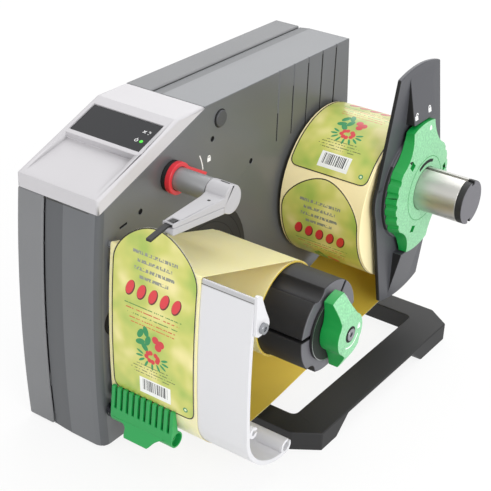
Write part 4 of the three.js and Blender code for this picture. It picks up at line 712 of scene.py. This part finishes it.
def web_look(face):
    x, y, z = middle(face)
    return int(face.normal.y * (LOOP_Y - y) + face.normal.z * (LOOP_Z - z) > 0)


finished("label_web_surface", web, [glassine, liner_back], "label_web", pick=web_look)
finished("wound_liner_surface", welded("wound_liner"), [glassine, liner_back], "wound_liner",
         0.2, pick=looks_right)

# %% [markdown]
# ## Housing casting
# The front of the casting is bowed, and its right edge is a full soft round. A bevel would
# make that round too, but it would not follow the bow evenly. So the corner of the welded
# copy is sliced, and its points are moved from the square corner onto a quarter round. First
# the bow is read: the height and depth of each point where the front meets the right face.

# %% The casting's bowed front
TOUCHING, FRONT_REACH = 0.01 * MM, 0.6 * MM
LEAST_STEP = 0.001
casting = welded("chassis")
front_line = sorted({
    (round(v.co.z / MM, 3), round((v.co.y - MACHINE_SHIFT.y) / MM, 3)) for v in casting.verts
    if abs(v.co.x - MACHINE_SHIFT.x) < TOUCHING and v.co.y - MACHINE_SHIFT.y < FRONT_REACH})


def front_at(height):
    if height <= front_line[0][0]:
        return front_line[0][1]
    for (low, y0), (high, y1) in zip(front_line, front_line[1:]):
        if height <= high:
            return y0 + (y1 - y0) * (height - low) / max(high - low, LEAST_STEP)
    return front_line[-1][1]


print("front line", front_line[0], front_line[-1])

# %% [markdown]
# ## Slices of the corner
# The front part is cut level at each height where the bow bends. Then the bow is taken out
# while the corner is sliced upright, and given back, so that the slices run along the corner.

# %% Slices of the corner
CORNER = 8.5
CORNER_SLICES = (0.6, 1.6, 3.0, 4.8, 6.8, CORNER)
FRONT_BAND = 12.0
CUT = 0.0005 * MM
ACROSS_X, ALONG_Y, UPWARDS = (1, 0, 0), (0, 1, 0), (0, 0, 1)


def slice_at(shape, place, normal, faces=None):
    faces = faces or shape.faces[:]
    edges = list(dict.fromkeys(edge for face in faces for edge in face.edges))
    points = list(dict.fromkeys(v for face in faces for v in face.verts))
    bmesh.ops.bisect_plane(
        shape, geom=points + edges + faces, plane_co=place, plane_no=normal, dist=CUT)


slice_at(casting, spot(0, FRONT_BAND, 0), ALONG_Y)
for height, _ in front_line[1:-1]:
    band = [face for face in casting.faces if middle(face).y < FRONT_BAND]
    slice_at(casting, spot(0, 0, height), UPWARDS, band)
for v in casting.verts:
    v.co.y -= front_at(v.co.z / MM) * MM
for depth in CORNER_SLICES:
    slice_at(casting, spot(-depth, 0, 0), ACROSS_X)
    slice_at(casting, spot(0, depth, 0), ALONG_Y)
for v in casting.verts:
    v.co.y += front_at(v.co.z / MM) * MM
print("casting faces", len(casting.faces))

# %% [markdown]
# ## Strips, seam and grooves
# A shallow strip slopes towards the seam on the casting's front and top. The dark lines of the five
# grooves at the back of the right face end at different heights, so each groove takes painted shade
# in black only below its own height. A row gives a groove's place along y and that height. More
# slices give all of these a clean border.

# %% Slices of strips, seam and grooves
SEAM_X, HOUSING_TOP = -52.0, 249.2
SEAM_SHADE = 0.6
STRIP_START, STRIP_FALL = -33.0, 1.8
TOP_STRIP_START, TOP_STRIP_FALL = -41.0, 1.4
CASTING_WALL, SKIN = 4.0, 0.05
GROOVE_LOW, GROOVE_HALF = 185.0, 3.0
GROOVE_STARTS = [(312, 246), (290, 246), (268, 244), (246, 230), (224, 212)]


def in_groove(face, place):
    x, y, z = middle(face)
    return -CASTING_WALL < x < -SKIN and abs(y - place) < GROOVE_HALF and z > GROOVE_LOW


for place, start in GROOVE_STARTS:
    groove = [face for face in casting.faces if in_groove(face, place)]
    slice_at(casting, spot(0, 0, start), UPWARDS, groove)
for border in (SEAM_X + SEAM_SHADE, STRIP_START, TOP_STRIP_START):
    slice_at(casting, spot(border, 0, 0), ACROSS_X)
print("casting faces with grooves", len(casting.faces))

# %% Strips and round corner
FRONT_SKIN, FRONT_LIMIT, TOP_SKIN = 0.6, 20.0, 0.5
for v in casting.verts:
    x, y, z = in_mm(v.co)
    inward = y - front_at(z)
    if x < STRIP_START and inward < FRONT_SKIN and y < FRONT_LIMIT:
        y += STRIP_FALL * (STRIP_START - x) / (STRIP_START - SEAM_X)
    if x < TOP_STRIP_START and z > HOUSING_TOP - TOP_SKIN:
        z -= TOP_STRIP_FALL * (TOP_STRIP_START - x) / (TOP_STRIP_START - SEAM_X)
    side, front = (x + CORNER) / CORNER, (CORNER - inward) / CORNER
    if side > 0 and front > 0:
        shrink = max(side, front) / math.hypot(side, front)
        x = -CORNER + CORNER * side * shrink
        y = front_at(z) + CORNER - CORNER * front * shrink
    v.co = spot(x, y, z)
print("corner radius", CORNER)

# %% [markdown]
# ## Finishes of the casting
# The strips and the turn of the corner take painted shade, a deeper grey copy of the paint. The
# blind holes, the grooves and the step at the seam take painted shade in black. Each face takes its
# slot by its place and its direction, so the slices above become the borders between the finishes.

# %% Finishes of the casting
CORNER_FROM, CORNER_TO, UPRIGHT = 34.0, 79.0, 0.5
DEEP_PLACES = [(133, 217, 4), (187, 180, 4), (46, 188.5, 4), (27, 186.6, 5), (16.5, 112, 12.2)]
PAINT, PAINTED_SHADE_BLACK, PAINTED_SHADE_GREY = range(3)


# Strips and the corner's turn take painted shade in grey, while the seam's step, the grooves and
# the blind holes take painted shade in black.
def casting_look(face):
    x, y, z = middle(face)
    normal = face.normal
    turned = math.degrees(math.atan2(normal.x, -normal.y))
    if x < SEAM_X + SEAM_SHADE and normal.y < -STRAIGHT:
        return PAINTED_SHADE_BLACK
    if x < STRIP_START and normal.y < -STRAIGHT or x < TOP_STRIP_START and normal.z > STRAIGHT:
        return PAINTED_SHADE_GREY
    if CORNER_FROM < turned < CORNER_TO and abs(normal.z) < UPRIGHT:
        return PAINTED_SHADE_GREY
    if not -CASTING_WALL < x < -SKIN:
        return PAINT
    if any(in_groove(face, place) and z < start for place, start in GROOVE_STARTS):
        return PAINTED_SHADE_BLACK
    if any(math.hypot(y - a, z - b) < reach for a, b, reach in DEEP_PLACES):
        return PAINTED_SHADE_BLACK
    return PAINT


finished("chassis_casting", casting, [sprayed_casting, shade_and_clip_black, painted_shade_casting], "chassis", 0.5,
         pick=casting_look)

# %% [markdown]
# ## The flat label
# One flat label is drawn as an outline with straight foot and sides and a domed head. Its
# unprinted margin and its dark border are inset rings, and cuts across it let it bend. The
# same flat label is later bent round the roll or stood up in front of the dispensing plate,
# so its print always fits it.

# %% The label's outline
LABEL_CORNER, LABEL_SHOULDER, LABEL_DOME = 8.0, 34.0, 16.0
CORNER_STEPS, DOME_STEPS = 5, 12


def curve_points(points, steps):
    made = []
    for i in range(steps):
        t = i / steps
        row = [Vector(p) for p in points]
        while len(row) > 1:
            row = [a.lerp(b, t) for a, b in zip(row, row[1:])]
        made.append(row[0])
    return made


def label_line():
    wide, high = LABEL_WIDTH, LABEL_LENGTH
    c, s, d = LABEL_CORNER, high - LABEL_SHOULDER, LABEL_DOME
    half = wide / 2
    parts = [
        ([(c, 0, 0), (wide - c, 0, 0)], 1),
        ([(wide - c, 0, 0), (wide, 0, 0), (wide, c, 0)], CORNER_STEPS),
        ([(wide, c, 0), (wide, s, 0)], 1),
        ([(wide, s, 0), (wide, s + d, 0), (half + d, high, 0), (half, high, 0)], DOME_STEPS),
        ([(half, high, 0), (half - d, high, 0), (0, s + d, 0), (0, s, 0)], DOME_STEPS),
        ([(0, s, 0), (0, c, 0)], 1),
        ([(0, c, 0), (0, 0, 0), (c, 0, 0)], CORNER_STEPS)]
    return [point for points, steps in parts for point in curve_points(points, steps)]


print("points round the label", len(label_line()))

# %% Rings along the label's rim
MARGIN, BORDER = 1.3, 1.0
UNPRINTED, DARK_BORDER, BACK = range(1, 4)
label_looks = [label_print, label_margin, mark_dark, label_back]


def inset_ring(shape, faces, width, slot):
    ring = bmesh.ops.inset_region(
        shape, faces=faces, thickness=width, use_boundary=True, use_even_offset=True)["faces"]
    for face in ring:
        face.material_index = slot
    return ring


print("label looks", [look.name for look in label_looks])

# %% The flat label
LABEL_SHEET = 0.25
LABEL_CUTS, LABEL_CUT, LOOKS_UP = 36, 0.0001, 0.5


def flat_label():
    shape = bmesh.new()
    shape.faces.new([shape.verts.new(point) for point in label_line()])
    margin = inset_ring(shape, shape.faces[:], MARGIN, UNPRINTED)
    inner = [face for face in shape.faces if face not in margin]
    inset_ring(shape, inner, BORDER, DARK_BORDER)
    for i in range(1, LABEL_CUTS):
        bmesh.ops.bisect_plane(
            shape, geom=shape.verts[:] + shape.edges[:] + shape.faces[:],
            plane_co=(0, LABEL_LENGTH * i / LABEL_CUTS, 0), plane_no=ALONG_Y, dist=LABEL_CUT)
    layer = shape.loops.layers.uv.new("print")
    for face in shape.faces:
        for loop in face.loops:
            loop[layer].uv = loop.vert.co.xy
    top_faces = shape.faces[:]
    bmesh.ops.recalc_face_normals(shape, faces=top_faces)
    if top_faces[0].normal.z < 0:
        bmesh.ops.reverse_faces(shape, faces=top_faces)
    base = bmesh.ops.extrude_face_region(shape, geom=top_faces, use_keep_orig=True)["geom"]
    for v in [g for g in base if isinstance(g, bmesh.types.BMVert)]:
        v.co.z -= LABEL_SHEET
    for face in shape.faces:
        if face.normal.z < LOOKS_UP and face not in top_faces:
            face.material_index = BACK
    bmesh.ops.recalc_face_normals(shape, faces=shape.faces[:])
    return shape


print("a label is", LABEL_WIDTH, "by", LABEL_LENGTH, "by", LABEL_SHEET, "mm")

# %% [markdown]
# ## Labels round the roll
# The roll's outer turn carries labels 3 mm apart. Two of them show, so two flat labels are
# wound round it: a length along the label becomes an angle round the roll, and its thickness
# stands out from it. They lie on the coil and turn with it.

# %% Labels round the roll
ROLL_Y, ROLL_Z, ROLL_RADIUS = 295.0, 131.3, 68.5
LABEL_START, LABEL_GAP, FIRST_LABEL_FOOT, PRESSED_IN = 6.3, 3.0, 151.0, 0.02
LABEL_TURN = math.degrees((LABEL_LENGTH + LABEL_GAP) / ROLL_RADIUS)


def polar(y, z, radius, degrees):
    angle = math.radians(degrees)
    return y + radius * math.cos(angle), z + radius * math.sin(angle)


for number in range(2):
    sheet = flat_label()
    for v in sheet.verts:
        turn = FIRST_LABEL_FOOT + number * LABEL_TURN - math.degrees(v.co.y / ROLL_RADIUS)
        y, z = polar(ROLL_Y, ROLL_Z, ROLL_RADIUS - PRESSED_IN + v.co.z, turn)
        v.co = spot(LABEL_START + v.co.x, y, z)
    bmesh.ops.recalc_face_normals(sheet, faces=sheet.faces[:])
    finished(f"roll_label_{number + 1}", sheet, label_looks, "label_roll", stands_for=False)
print("label turn", round(LABEL_TURN, 1))

# %% [markdown]
# ## The wound roll
# The coil under the labels is hundreds of turns of paper that look like one smooth drum.
# Single turns would take a great many faces for lines too fine to show, so it stays one solid.
# Its outer skin is drawn in by a fifth of a millimetre, so that the labels lie on it.

# %% The wound roll
COIL_SKIN, COIL_BACK = 1.0, 0.2
coil = welded("label_roll")
for v in coil.verts:
    x, y, z = in_mm(v.co)
    away = Vector((y - ROLL_Y, z - ROLL_Z))
    if away.length > ROLL_RADIUS - COIL_SKIN:
        away *= (ROLL_RADIUS - COIL_BACK) / away.length
        v.co = spot(x, ROLL_Y + away.x, ROLL_Z + away.y)
finished("label_roll_coil", coil, [wound_glassine], "label_roll", 0.4)
print("coil radius", ROLL_RADIUS - COIL_BACK)

# %% [markdown]
# ## Peeled label
# The peeled label stands in front of the plate and follows its bow up to the edge, then
# carries on straight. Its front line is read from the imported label: at each height the point
# furthest forward, leaving out levels that lie behind their neighbours.

# %% The peeled label's front line
LABEL_FOOT = 61.0
FAR_BACK, LEVEL_REACH, LEVEL_STEP = 99.0, 6.0, 0.3
peeled_front = {}
for v in nodes["peeled_label"].data.vertices:
    x, y, z = in_mm(v.co)
    level = round(z, 1)
    peeled_front[level] = min(peeled_front.get(level, FAR_BACK), y)
front_steps = sorted(peeled_front.items())
smooth_steps = [
    (z, y) for z, y in front_steps
    if all(y <= other + LEVEL_STEP for near, other in front_steps if abs(near - z) < LEVEL_REACH)]


def label_front(height):
    for (low, y0), (high, y1) in zip(smooth_steps, smooth_steps[1:]):
        if height <= high:
            return y0 + (y1 - y0) * (height - low) / (high - low)
    return smooth_steps[-1][1]


print("peeled line", smooth_steps[0], smooth_steps[-1], len(smooth_steps))

# %% Peeled label
standing = flat_label()
for v in standing.verts:
    height = LABEL_FOOT + v.co.y
    v.co = spot(LABEL_START + v.co.x, label_front(height) - v.co.z, height)
bmesh.ops.recalc_face_normals(standing, faces=standing.faces[:])
finished("peeled_label_sheet", standing, label_looks, "peeled_label")

# %% [markdown]
# ## Printed marks
# Small white marks show which way the levers lock: an arc, an arrow and padlocks. They are pad
# printed, a film of ink too thin to feel. A pattern in the material could draw them, but an outline
# is easier to place and stays sharp, so they are flat outlines about a tenth of a millimetre thick.
# The same helper draws dark seams, and painted shade in small places that are too shallow to model,
# such as a screw's hole, a slot or a turned ring, and a painted highlight on a rim. An outline is
# in millimetres on the face that carries it, and the place that a mark is given is where that
# face's zero lies.

# %% Mark outlines
INK = 0.12
DOT_SIDES = 16


def arc_band(radius, width, start, end, steps=20, u=0.0, v=0.0):
    turns = [start + (end - start) * i / steps for i in range(steps + 1)]
    outer = [polar(u, v, radius + width / 2, turn) for turn in turns]
    inner = [polar(u, v, radius - width / 2, turn) for turn in reversed(turns)]
    return outer + inner


def full_ring(radius, width, steps=20):
    return [arc_band(radius, width, turn, turn + 180, steps) for turn in (0, 180)]


def dot(u, v, radius):
    return [polar(u, v, radius, 360 / DOT_SIDES * turn) for turn in range(DOT_SIDES)]


def bar(u, v, wide, high, turn=0.0):
    a, b = wide / 2, high / 2
    cosine, sine = math.cos(math.radians(turn)), math.sin(math.radians(turn))
    return [(u + p * cosine - q * sine, v + p * sine + q * cosine)
            for p, q in [(-a, -b), (a, -b), (a, b), (-a, b)]]


def padlock(u, v, size, opened=0.0):
    body = bar(u, v, 1.3 * size, size)
    loop = arc_band(0.45 * size, 0.25 * size, 0, 180, 8, u + opened, v + 0.55 * size)
    return [body, loop]


print("padlock outlines", len(padlock(0, 0, 2)))


# %% Setting a mark on its face
def mark(name, outlines, node, look, origin, across, up, thickness=INK):
    shape = bmesh.new()
    for outline in outlines:
        shape.faces.new([shape.verts.new((u, v, 0)) for u, v in outline])
    raised = bmesh.ops.extrude_face_region(shape, geom=shape.faces[:], use_keep_orig=True)["geom"]
    for v in [part for part in raised if isinstance(part, bmesh.types.BMVert)]:
        v.co.z += thickness
    across, up = Vector(across).normalized(), Vector(up).normalized()
    turned = Matrix((across, up, across.cross(up))).transposed().to_4x4()
    place = Matrix.Translation(spot(*origin)) @ Matrix.Scale(MM, 4) @ turned
    bmesh.ops.transform(shape, matrix=place, verts=shape.verts)
    bmesh.ops.recalc_face_normals(shape, faces=shape.faces[:])
    return finished(name, shape, [look], node, stands_for=False)


print("ink is", INK, "mm thick")

# %% Marks on the housing
mark("lever_marks", [arc_band(41, 1.0, 9.6, 29.0, u=80.9, v=190.8)] + padlock(128.9, 203.4, 3.2),
     "chassis", mark_white, (0, 0, 0), ALONG_Y, UPWARDS)
mark("cap_seat_shadow", full_ring(7.2, 0.9), "chassis", shade_and_clip_black, (0, 142.5, 233.7),
     ALONG_Y, UPWARDS, 0.06)
mark("cover_seam", [bar(0, 0, 43.0, 0.6)], "chassis", mark_dark, (-30.3, 0.0, 203.6),
     ACROSS_X, UPWARDS, 0.05)

# %% Marks on the window
SLOPE_LEAN = math.atan2(32.9, 88.0)
WINDOW_PROUD = 0.95
window_place = (0, WINDOW_PROUD * math.sin(SLOPE_LEAN), 216.3 - WINDOW_PROUD * math.cos(SLOPE_LEAN))
window_up = (0, math.cos(SLOPE_LEAN), math.sin(SLOPE_LEAN))
window_icons = [
    arc_band(1.3, 0.45, 120, 420, u=-15.9, v=64.6), bar(-15.9, 66.0, 0.5, 1.8),
    bar(-15.4, 74.4, 3.4, 0.55, 45), bar(-15.4, 74.4, 3.4, 0.55, -45),
    arc_band(0.9, 0.5, -60, 160, u=-11.2, v=75.0), bar(-11.2, 72.9, 0.6, 0.6)]
mark("window_icons", window_icons, "display_window", mark_white,
     window_place, ACROSS_X, window_up)
mark("window_glow", [dot(-11.3, 64.6, 1.5)], "display_window", lamp_green,
     window_place, ACROSS_X, window_up)
print("window leans", round(math.degrees(SLOPE_LEAN), 1), "degrees")

# %% Marks on the margin stop and its knob
RIB_RISE = (-0.21, 0, 0.98)
knob_middle = (knob_front, SHAFT_Y, SHAFT_Z)
mark("blade_marks", padlock(-14.0, 0, 3.6, opened=1.6) + padlock(9.0, 0.5, 3.6),
     "margin_stop", mark_white, (98.62, 295.0, 216.2), ALONG_Y, RIB_RISE)
mark("stop_knob_arrow", [[(-1.9, -2.2), (1.9, -2.2), (1.9, 0), (0, 2.4), (-1.9, 0)]],
     "margin_knob", mark_white, (103.1, 300.4, 203.3), ALONG_Y, (-0.12, 0, 0.99))
mark("shaft_clip", [arc_band(24.6, 2.6, 68, 122)], "margin_knob", shade_and_clip_black,
     knob_middle, ALONG_Y, UPWARDS, 0.4)
# A ring in the flank's deeper green is painted shade along a shallow groove in the knob's face.
mark("stop_knob_groove_painted_shade", [arc_band(28.5, 0.5, turn, turn + 120, 30) for turn in (0, 120, 240)],
     "margin_knob", knob_abs, knob_middle, ALONG_Y, UPWARDS, 0.05)

# %% Marks on the rewinder
HUB_Y, HUB_Z = 118.0, 105.5
mark("hub_knob_marks", [arc_band(11.3, 1.0, -121, -20)] + padlock(11.8, 1.6, 2.8),
     "rewind_knob", mark_white, (right_end("rewind_knob"), HUB_Y, HUB_Z), ALONG_Y, UPWARDS)
# The ring round the hub's screw and the two rings on the flange are painted shade, and the bright
# ring on the retaining disc is a painted highlight on its rim.
for name, outlines, node, look, thickness in [
    ("hub_screw_ring_painted_shade", full_ring(5.9, 1.5), "rewind_knob", shade_and_clip_black, 0.08),
    ("flange_rings_painted_shade", full_ring(46, 0.8, 30) + full_ring(54, 0.8, 30), "rewind_flange",
     shade_and_clip_black, 0.05),
    ("disc_rim_painted_highlight", full_ring(26.6, 0.5, 30), "retaining_disc", bright_edge, 0.05),
]:
    mark(name, outlines, node, look, (right_end(node), HUB_Y, HUB_Z), ALONG_Y, UPWARDS, thickness)

# %% Marks on the sensor arm and the plate's edge
# The screw's hole and the slot in the sensor arm are painted shade in black.
mark("arm_screw_hole_painted_shade", [dot(0, 0, 1.3)], "sensor_arm_upper", shade_and_clip_black,
     (50.7, 61.3, 209.8), ACROSS_X, (0, 1, -0.05))
mark("arm_slot_painted_shade", [bar(0, 0, 8.0, 1.3)], "sensor_arm_upper", shade_and_clip_black,
     (49.1, 83.1, 215.7), ACROSS_X, (0, 0.99, -0.12))
mark("edge_seam", [bar(0, 0, 127, 0.4)], "dispense_edge", mark_dark, (64.4, 9.36, 177.3),
     ACROSS_X, (0, 0.11, 0.99), 0.06)

# %% [markdown]
# ## Floor
# The machine stands on a plain white floor, as in a product studio. The floor looks white to
# the camera and to mirroring surfaces, because part of what they see there is a plain white
# light of its own, while to the machine it is only a pale matt surface. What remains of the
# matt surface keeps a part of the machine's shadow.

# %% Floor
FLOOR_REACH, FLOOR_WHITE = 6.0, 0.86


def seen_directly(tree):
    ray = add_node(tree, "ShaderNodeLightPath")
    mirrored = add_node(tree, "ShaderNodeMath", {
        0: ray.outputs["Is Camera Ray"], 1: ray.outputs["Is Glossy Ray"]}, operation="MAXIMUM")
    return add_node(tree, "ShaderNodeMath", {
        0: mirrored.outputs[0], 1: ray.outputs["Is Transmission Ray"]},
        operation="MAXIMUM").outputs[0]


floor_shape = bmesh.new()
bmesh.ops.create_grid(floor_shape, x_segments=2, y_segments=2, size=FLOOR_REACH)
floor_mesh = bpy.data.meshes.new("studio_floor")
floor_shape.to_mesh(floor_mesh)
floor_shape.free()
floor = bpy.data.objects.new("studio_floor", floor_mesh)
bpy.context.scene.collection.objects.link(floor)
floor_look, floor_tree, floor_shader = new_material("studio_white", 0.9)
floor_shader.inputs["Base Color"].default_value = linear(0xF4F4F4)
floor_shader.inputs["Specular IOR Level"].default_value = 0.0
share = add_node(floor_tree, "ShaderNodeMath", {
    0: seen_directly(floor_tree), 1: FLOOR_WHITE}, operation="MULTIPLY")
glow = add_node(floor_tree, "ShaderNodeEmission", {"Color": linear(0xFFFFFF), "Strength": 1.0})
floor_mix = add_node(floor_tree, "ShaderNodeMixShader", {
    0: share.outputs[0], 1: floor_shader.outputs[0], 2: glow.outputs[0]})
floor_tree.links.new(
    floor_mix.outputs[0], floor_tree.nodes["Material Output"].inputs["Surface"])
floor_mesh.materials.append(floor_look)
print("floor nodes", len(floor_tree.nodes))

# %% [markdown]
# ## Sky
# The sky is the studio's white hall. It is full white where it is seen or mirrored, and gives
# the machine less light than that, so that pale surfaces don't wash out.

# %% Sky
SKY_LIGHT = 0.7
sky = bpy.data.worlds.new("studio_sky")
bpy.context.scene.world = sky
sky.use_nodes = True
sky_tree = sky.node_tree
sky_level = add_node(sky_tree, "ShaderNodeMapRange", {
    "Value": seen_directly(sky_tree), "To Min": SKY_LIGHT, "To Max": 1.0})
sky_light = sky_tree.nodes["Background"]
sky_light.inputs["Color"].default_value = linear(0xFFFFFF)
sky_tree.links.new(sky_level.outputs["Result"], sky_light.inputs["Strength"])
print("sky gives", SKY_LIGHT)

# %% [markdown]
# ## Lamps
# Four broad softboxes model the shapes without hard shadows. The strongest stands at the
# right, where the picture's light comes from, one hangs overhead for the top faces, and the
# weaker ones at the front and the back keep the shaded sides readable. Places and sizes are in
# metres, and powers in watts.


# %% Lamps
def soft_lamp(name, place, target, size, power):
    data = bpy.data.lights.new(name, "AREA")
    data.shape = "RECTANGLE"
    data.size, data.size_y = size
    data.energy = power
    lamp = bpy.data.objects.new(name, data)
    lamp.location = place
    lamp.rotation_euler = (Vector(place) - Vector(target)).to_track_quat("Z", "Y").to_euler()
    bpy.context.scene.collection.objects.link(lamp)


soft_lamp("overhead_softbox", (0.1, 0.5, 1.7), (0, 0, 0.15), (1.6, 1.2), 11)
soft_lamp("front_softbox", (-1.3, -1.6, 0.9), (0, 0, 0.1), (1.0, 1.0), 3)
soft_lamp("right_softbox", (1.7, -0.9, 0.9), (0, 0, 0.1), (1.0, 1.0), 20)
soft_lamp("back_softbox", (-0.9, 1.5, 1.25), (0, 0.1, 0.2), (1.5, 1.0), 9)
print("lamps", len(bpy.data.lights))

# %% [markdown]
# ## Camera
# A long lens is used, because the machine's edges hardly converge. The camera stands to the
# right and above, and is tilted a little about its own axis, as the picture it matches was.
# Its three directions are worked out from those angles and put into one matrix.

# %% Camera
AZIMUTH, ELEVATION, ROLL = (math.radians(angle) for angle in (34.379, 28.34, 2.308))
CAMERA_PLACE = Vector((479.76, -747.49, 597.14)) * MM
SENSOR, LENS, VIEW_REACH = 36.0, 89.893, 50.0
back = Vector((
    math.sin(AZIMUTH) * math.cos(ELEVATION),
    -math.cos(AZIMUTH) * math.cos(ELEVATION),
    math.sin(ELEVATION)))
level_right = Vector((math.cos(AZIMUTH), math.sin(AZIMUTH), 0))
level_up = back.cross(level_right)
right = level_right * math.cos(ROLL) + level_up * math.sin(ROLL)
up = back.cross(right)
camera_data = bpy.data.cameras.new("studio_camera")
camera_data.sensor_width = SENSOR
camera_data.lens = LENS
camera_data.clip_end = VIEW_REACH
camera = bpy.data.objects.new("studio_camera", camera_data)
facing = Matrix((right, up, back)).transposed().to_4x4()
camera.matrix_world = Matrix.Translation(CAMERA_PLACE) @ facing
bpy.context.scene.collection.objects.link(camera)
bpy.context.scene.camera = camera
bpy.context.scene.view_settings.view_transform = "Standard"
print("camera at", tuple(round(value, 3) for value in CAMERA_PLACE))
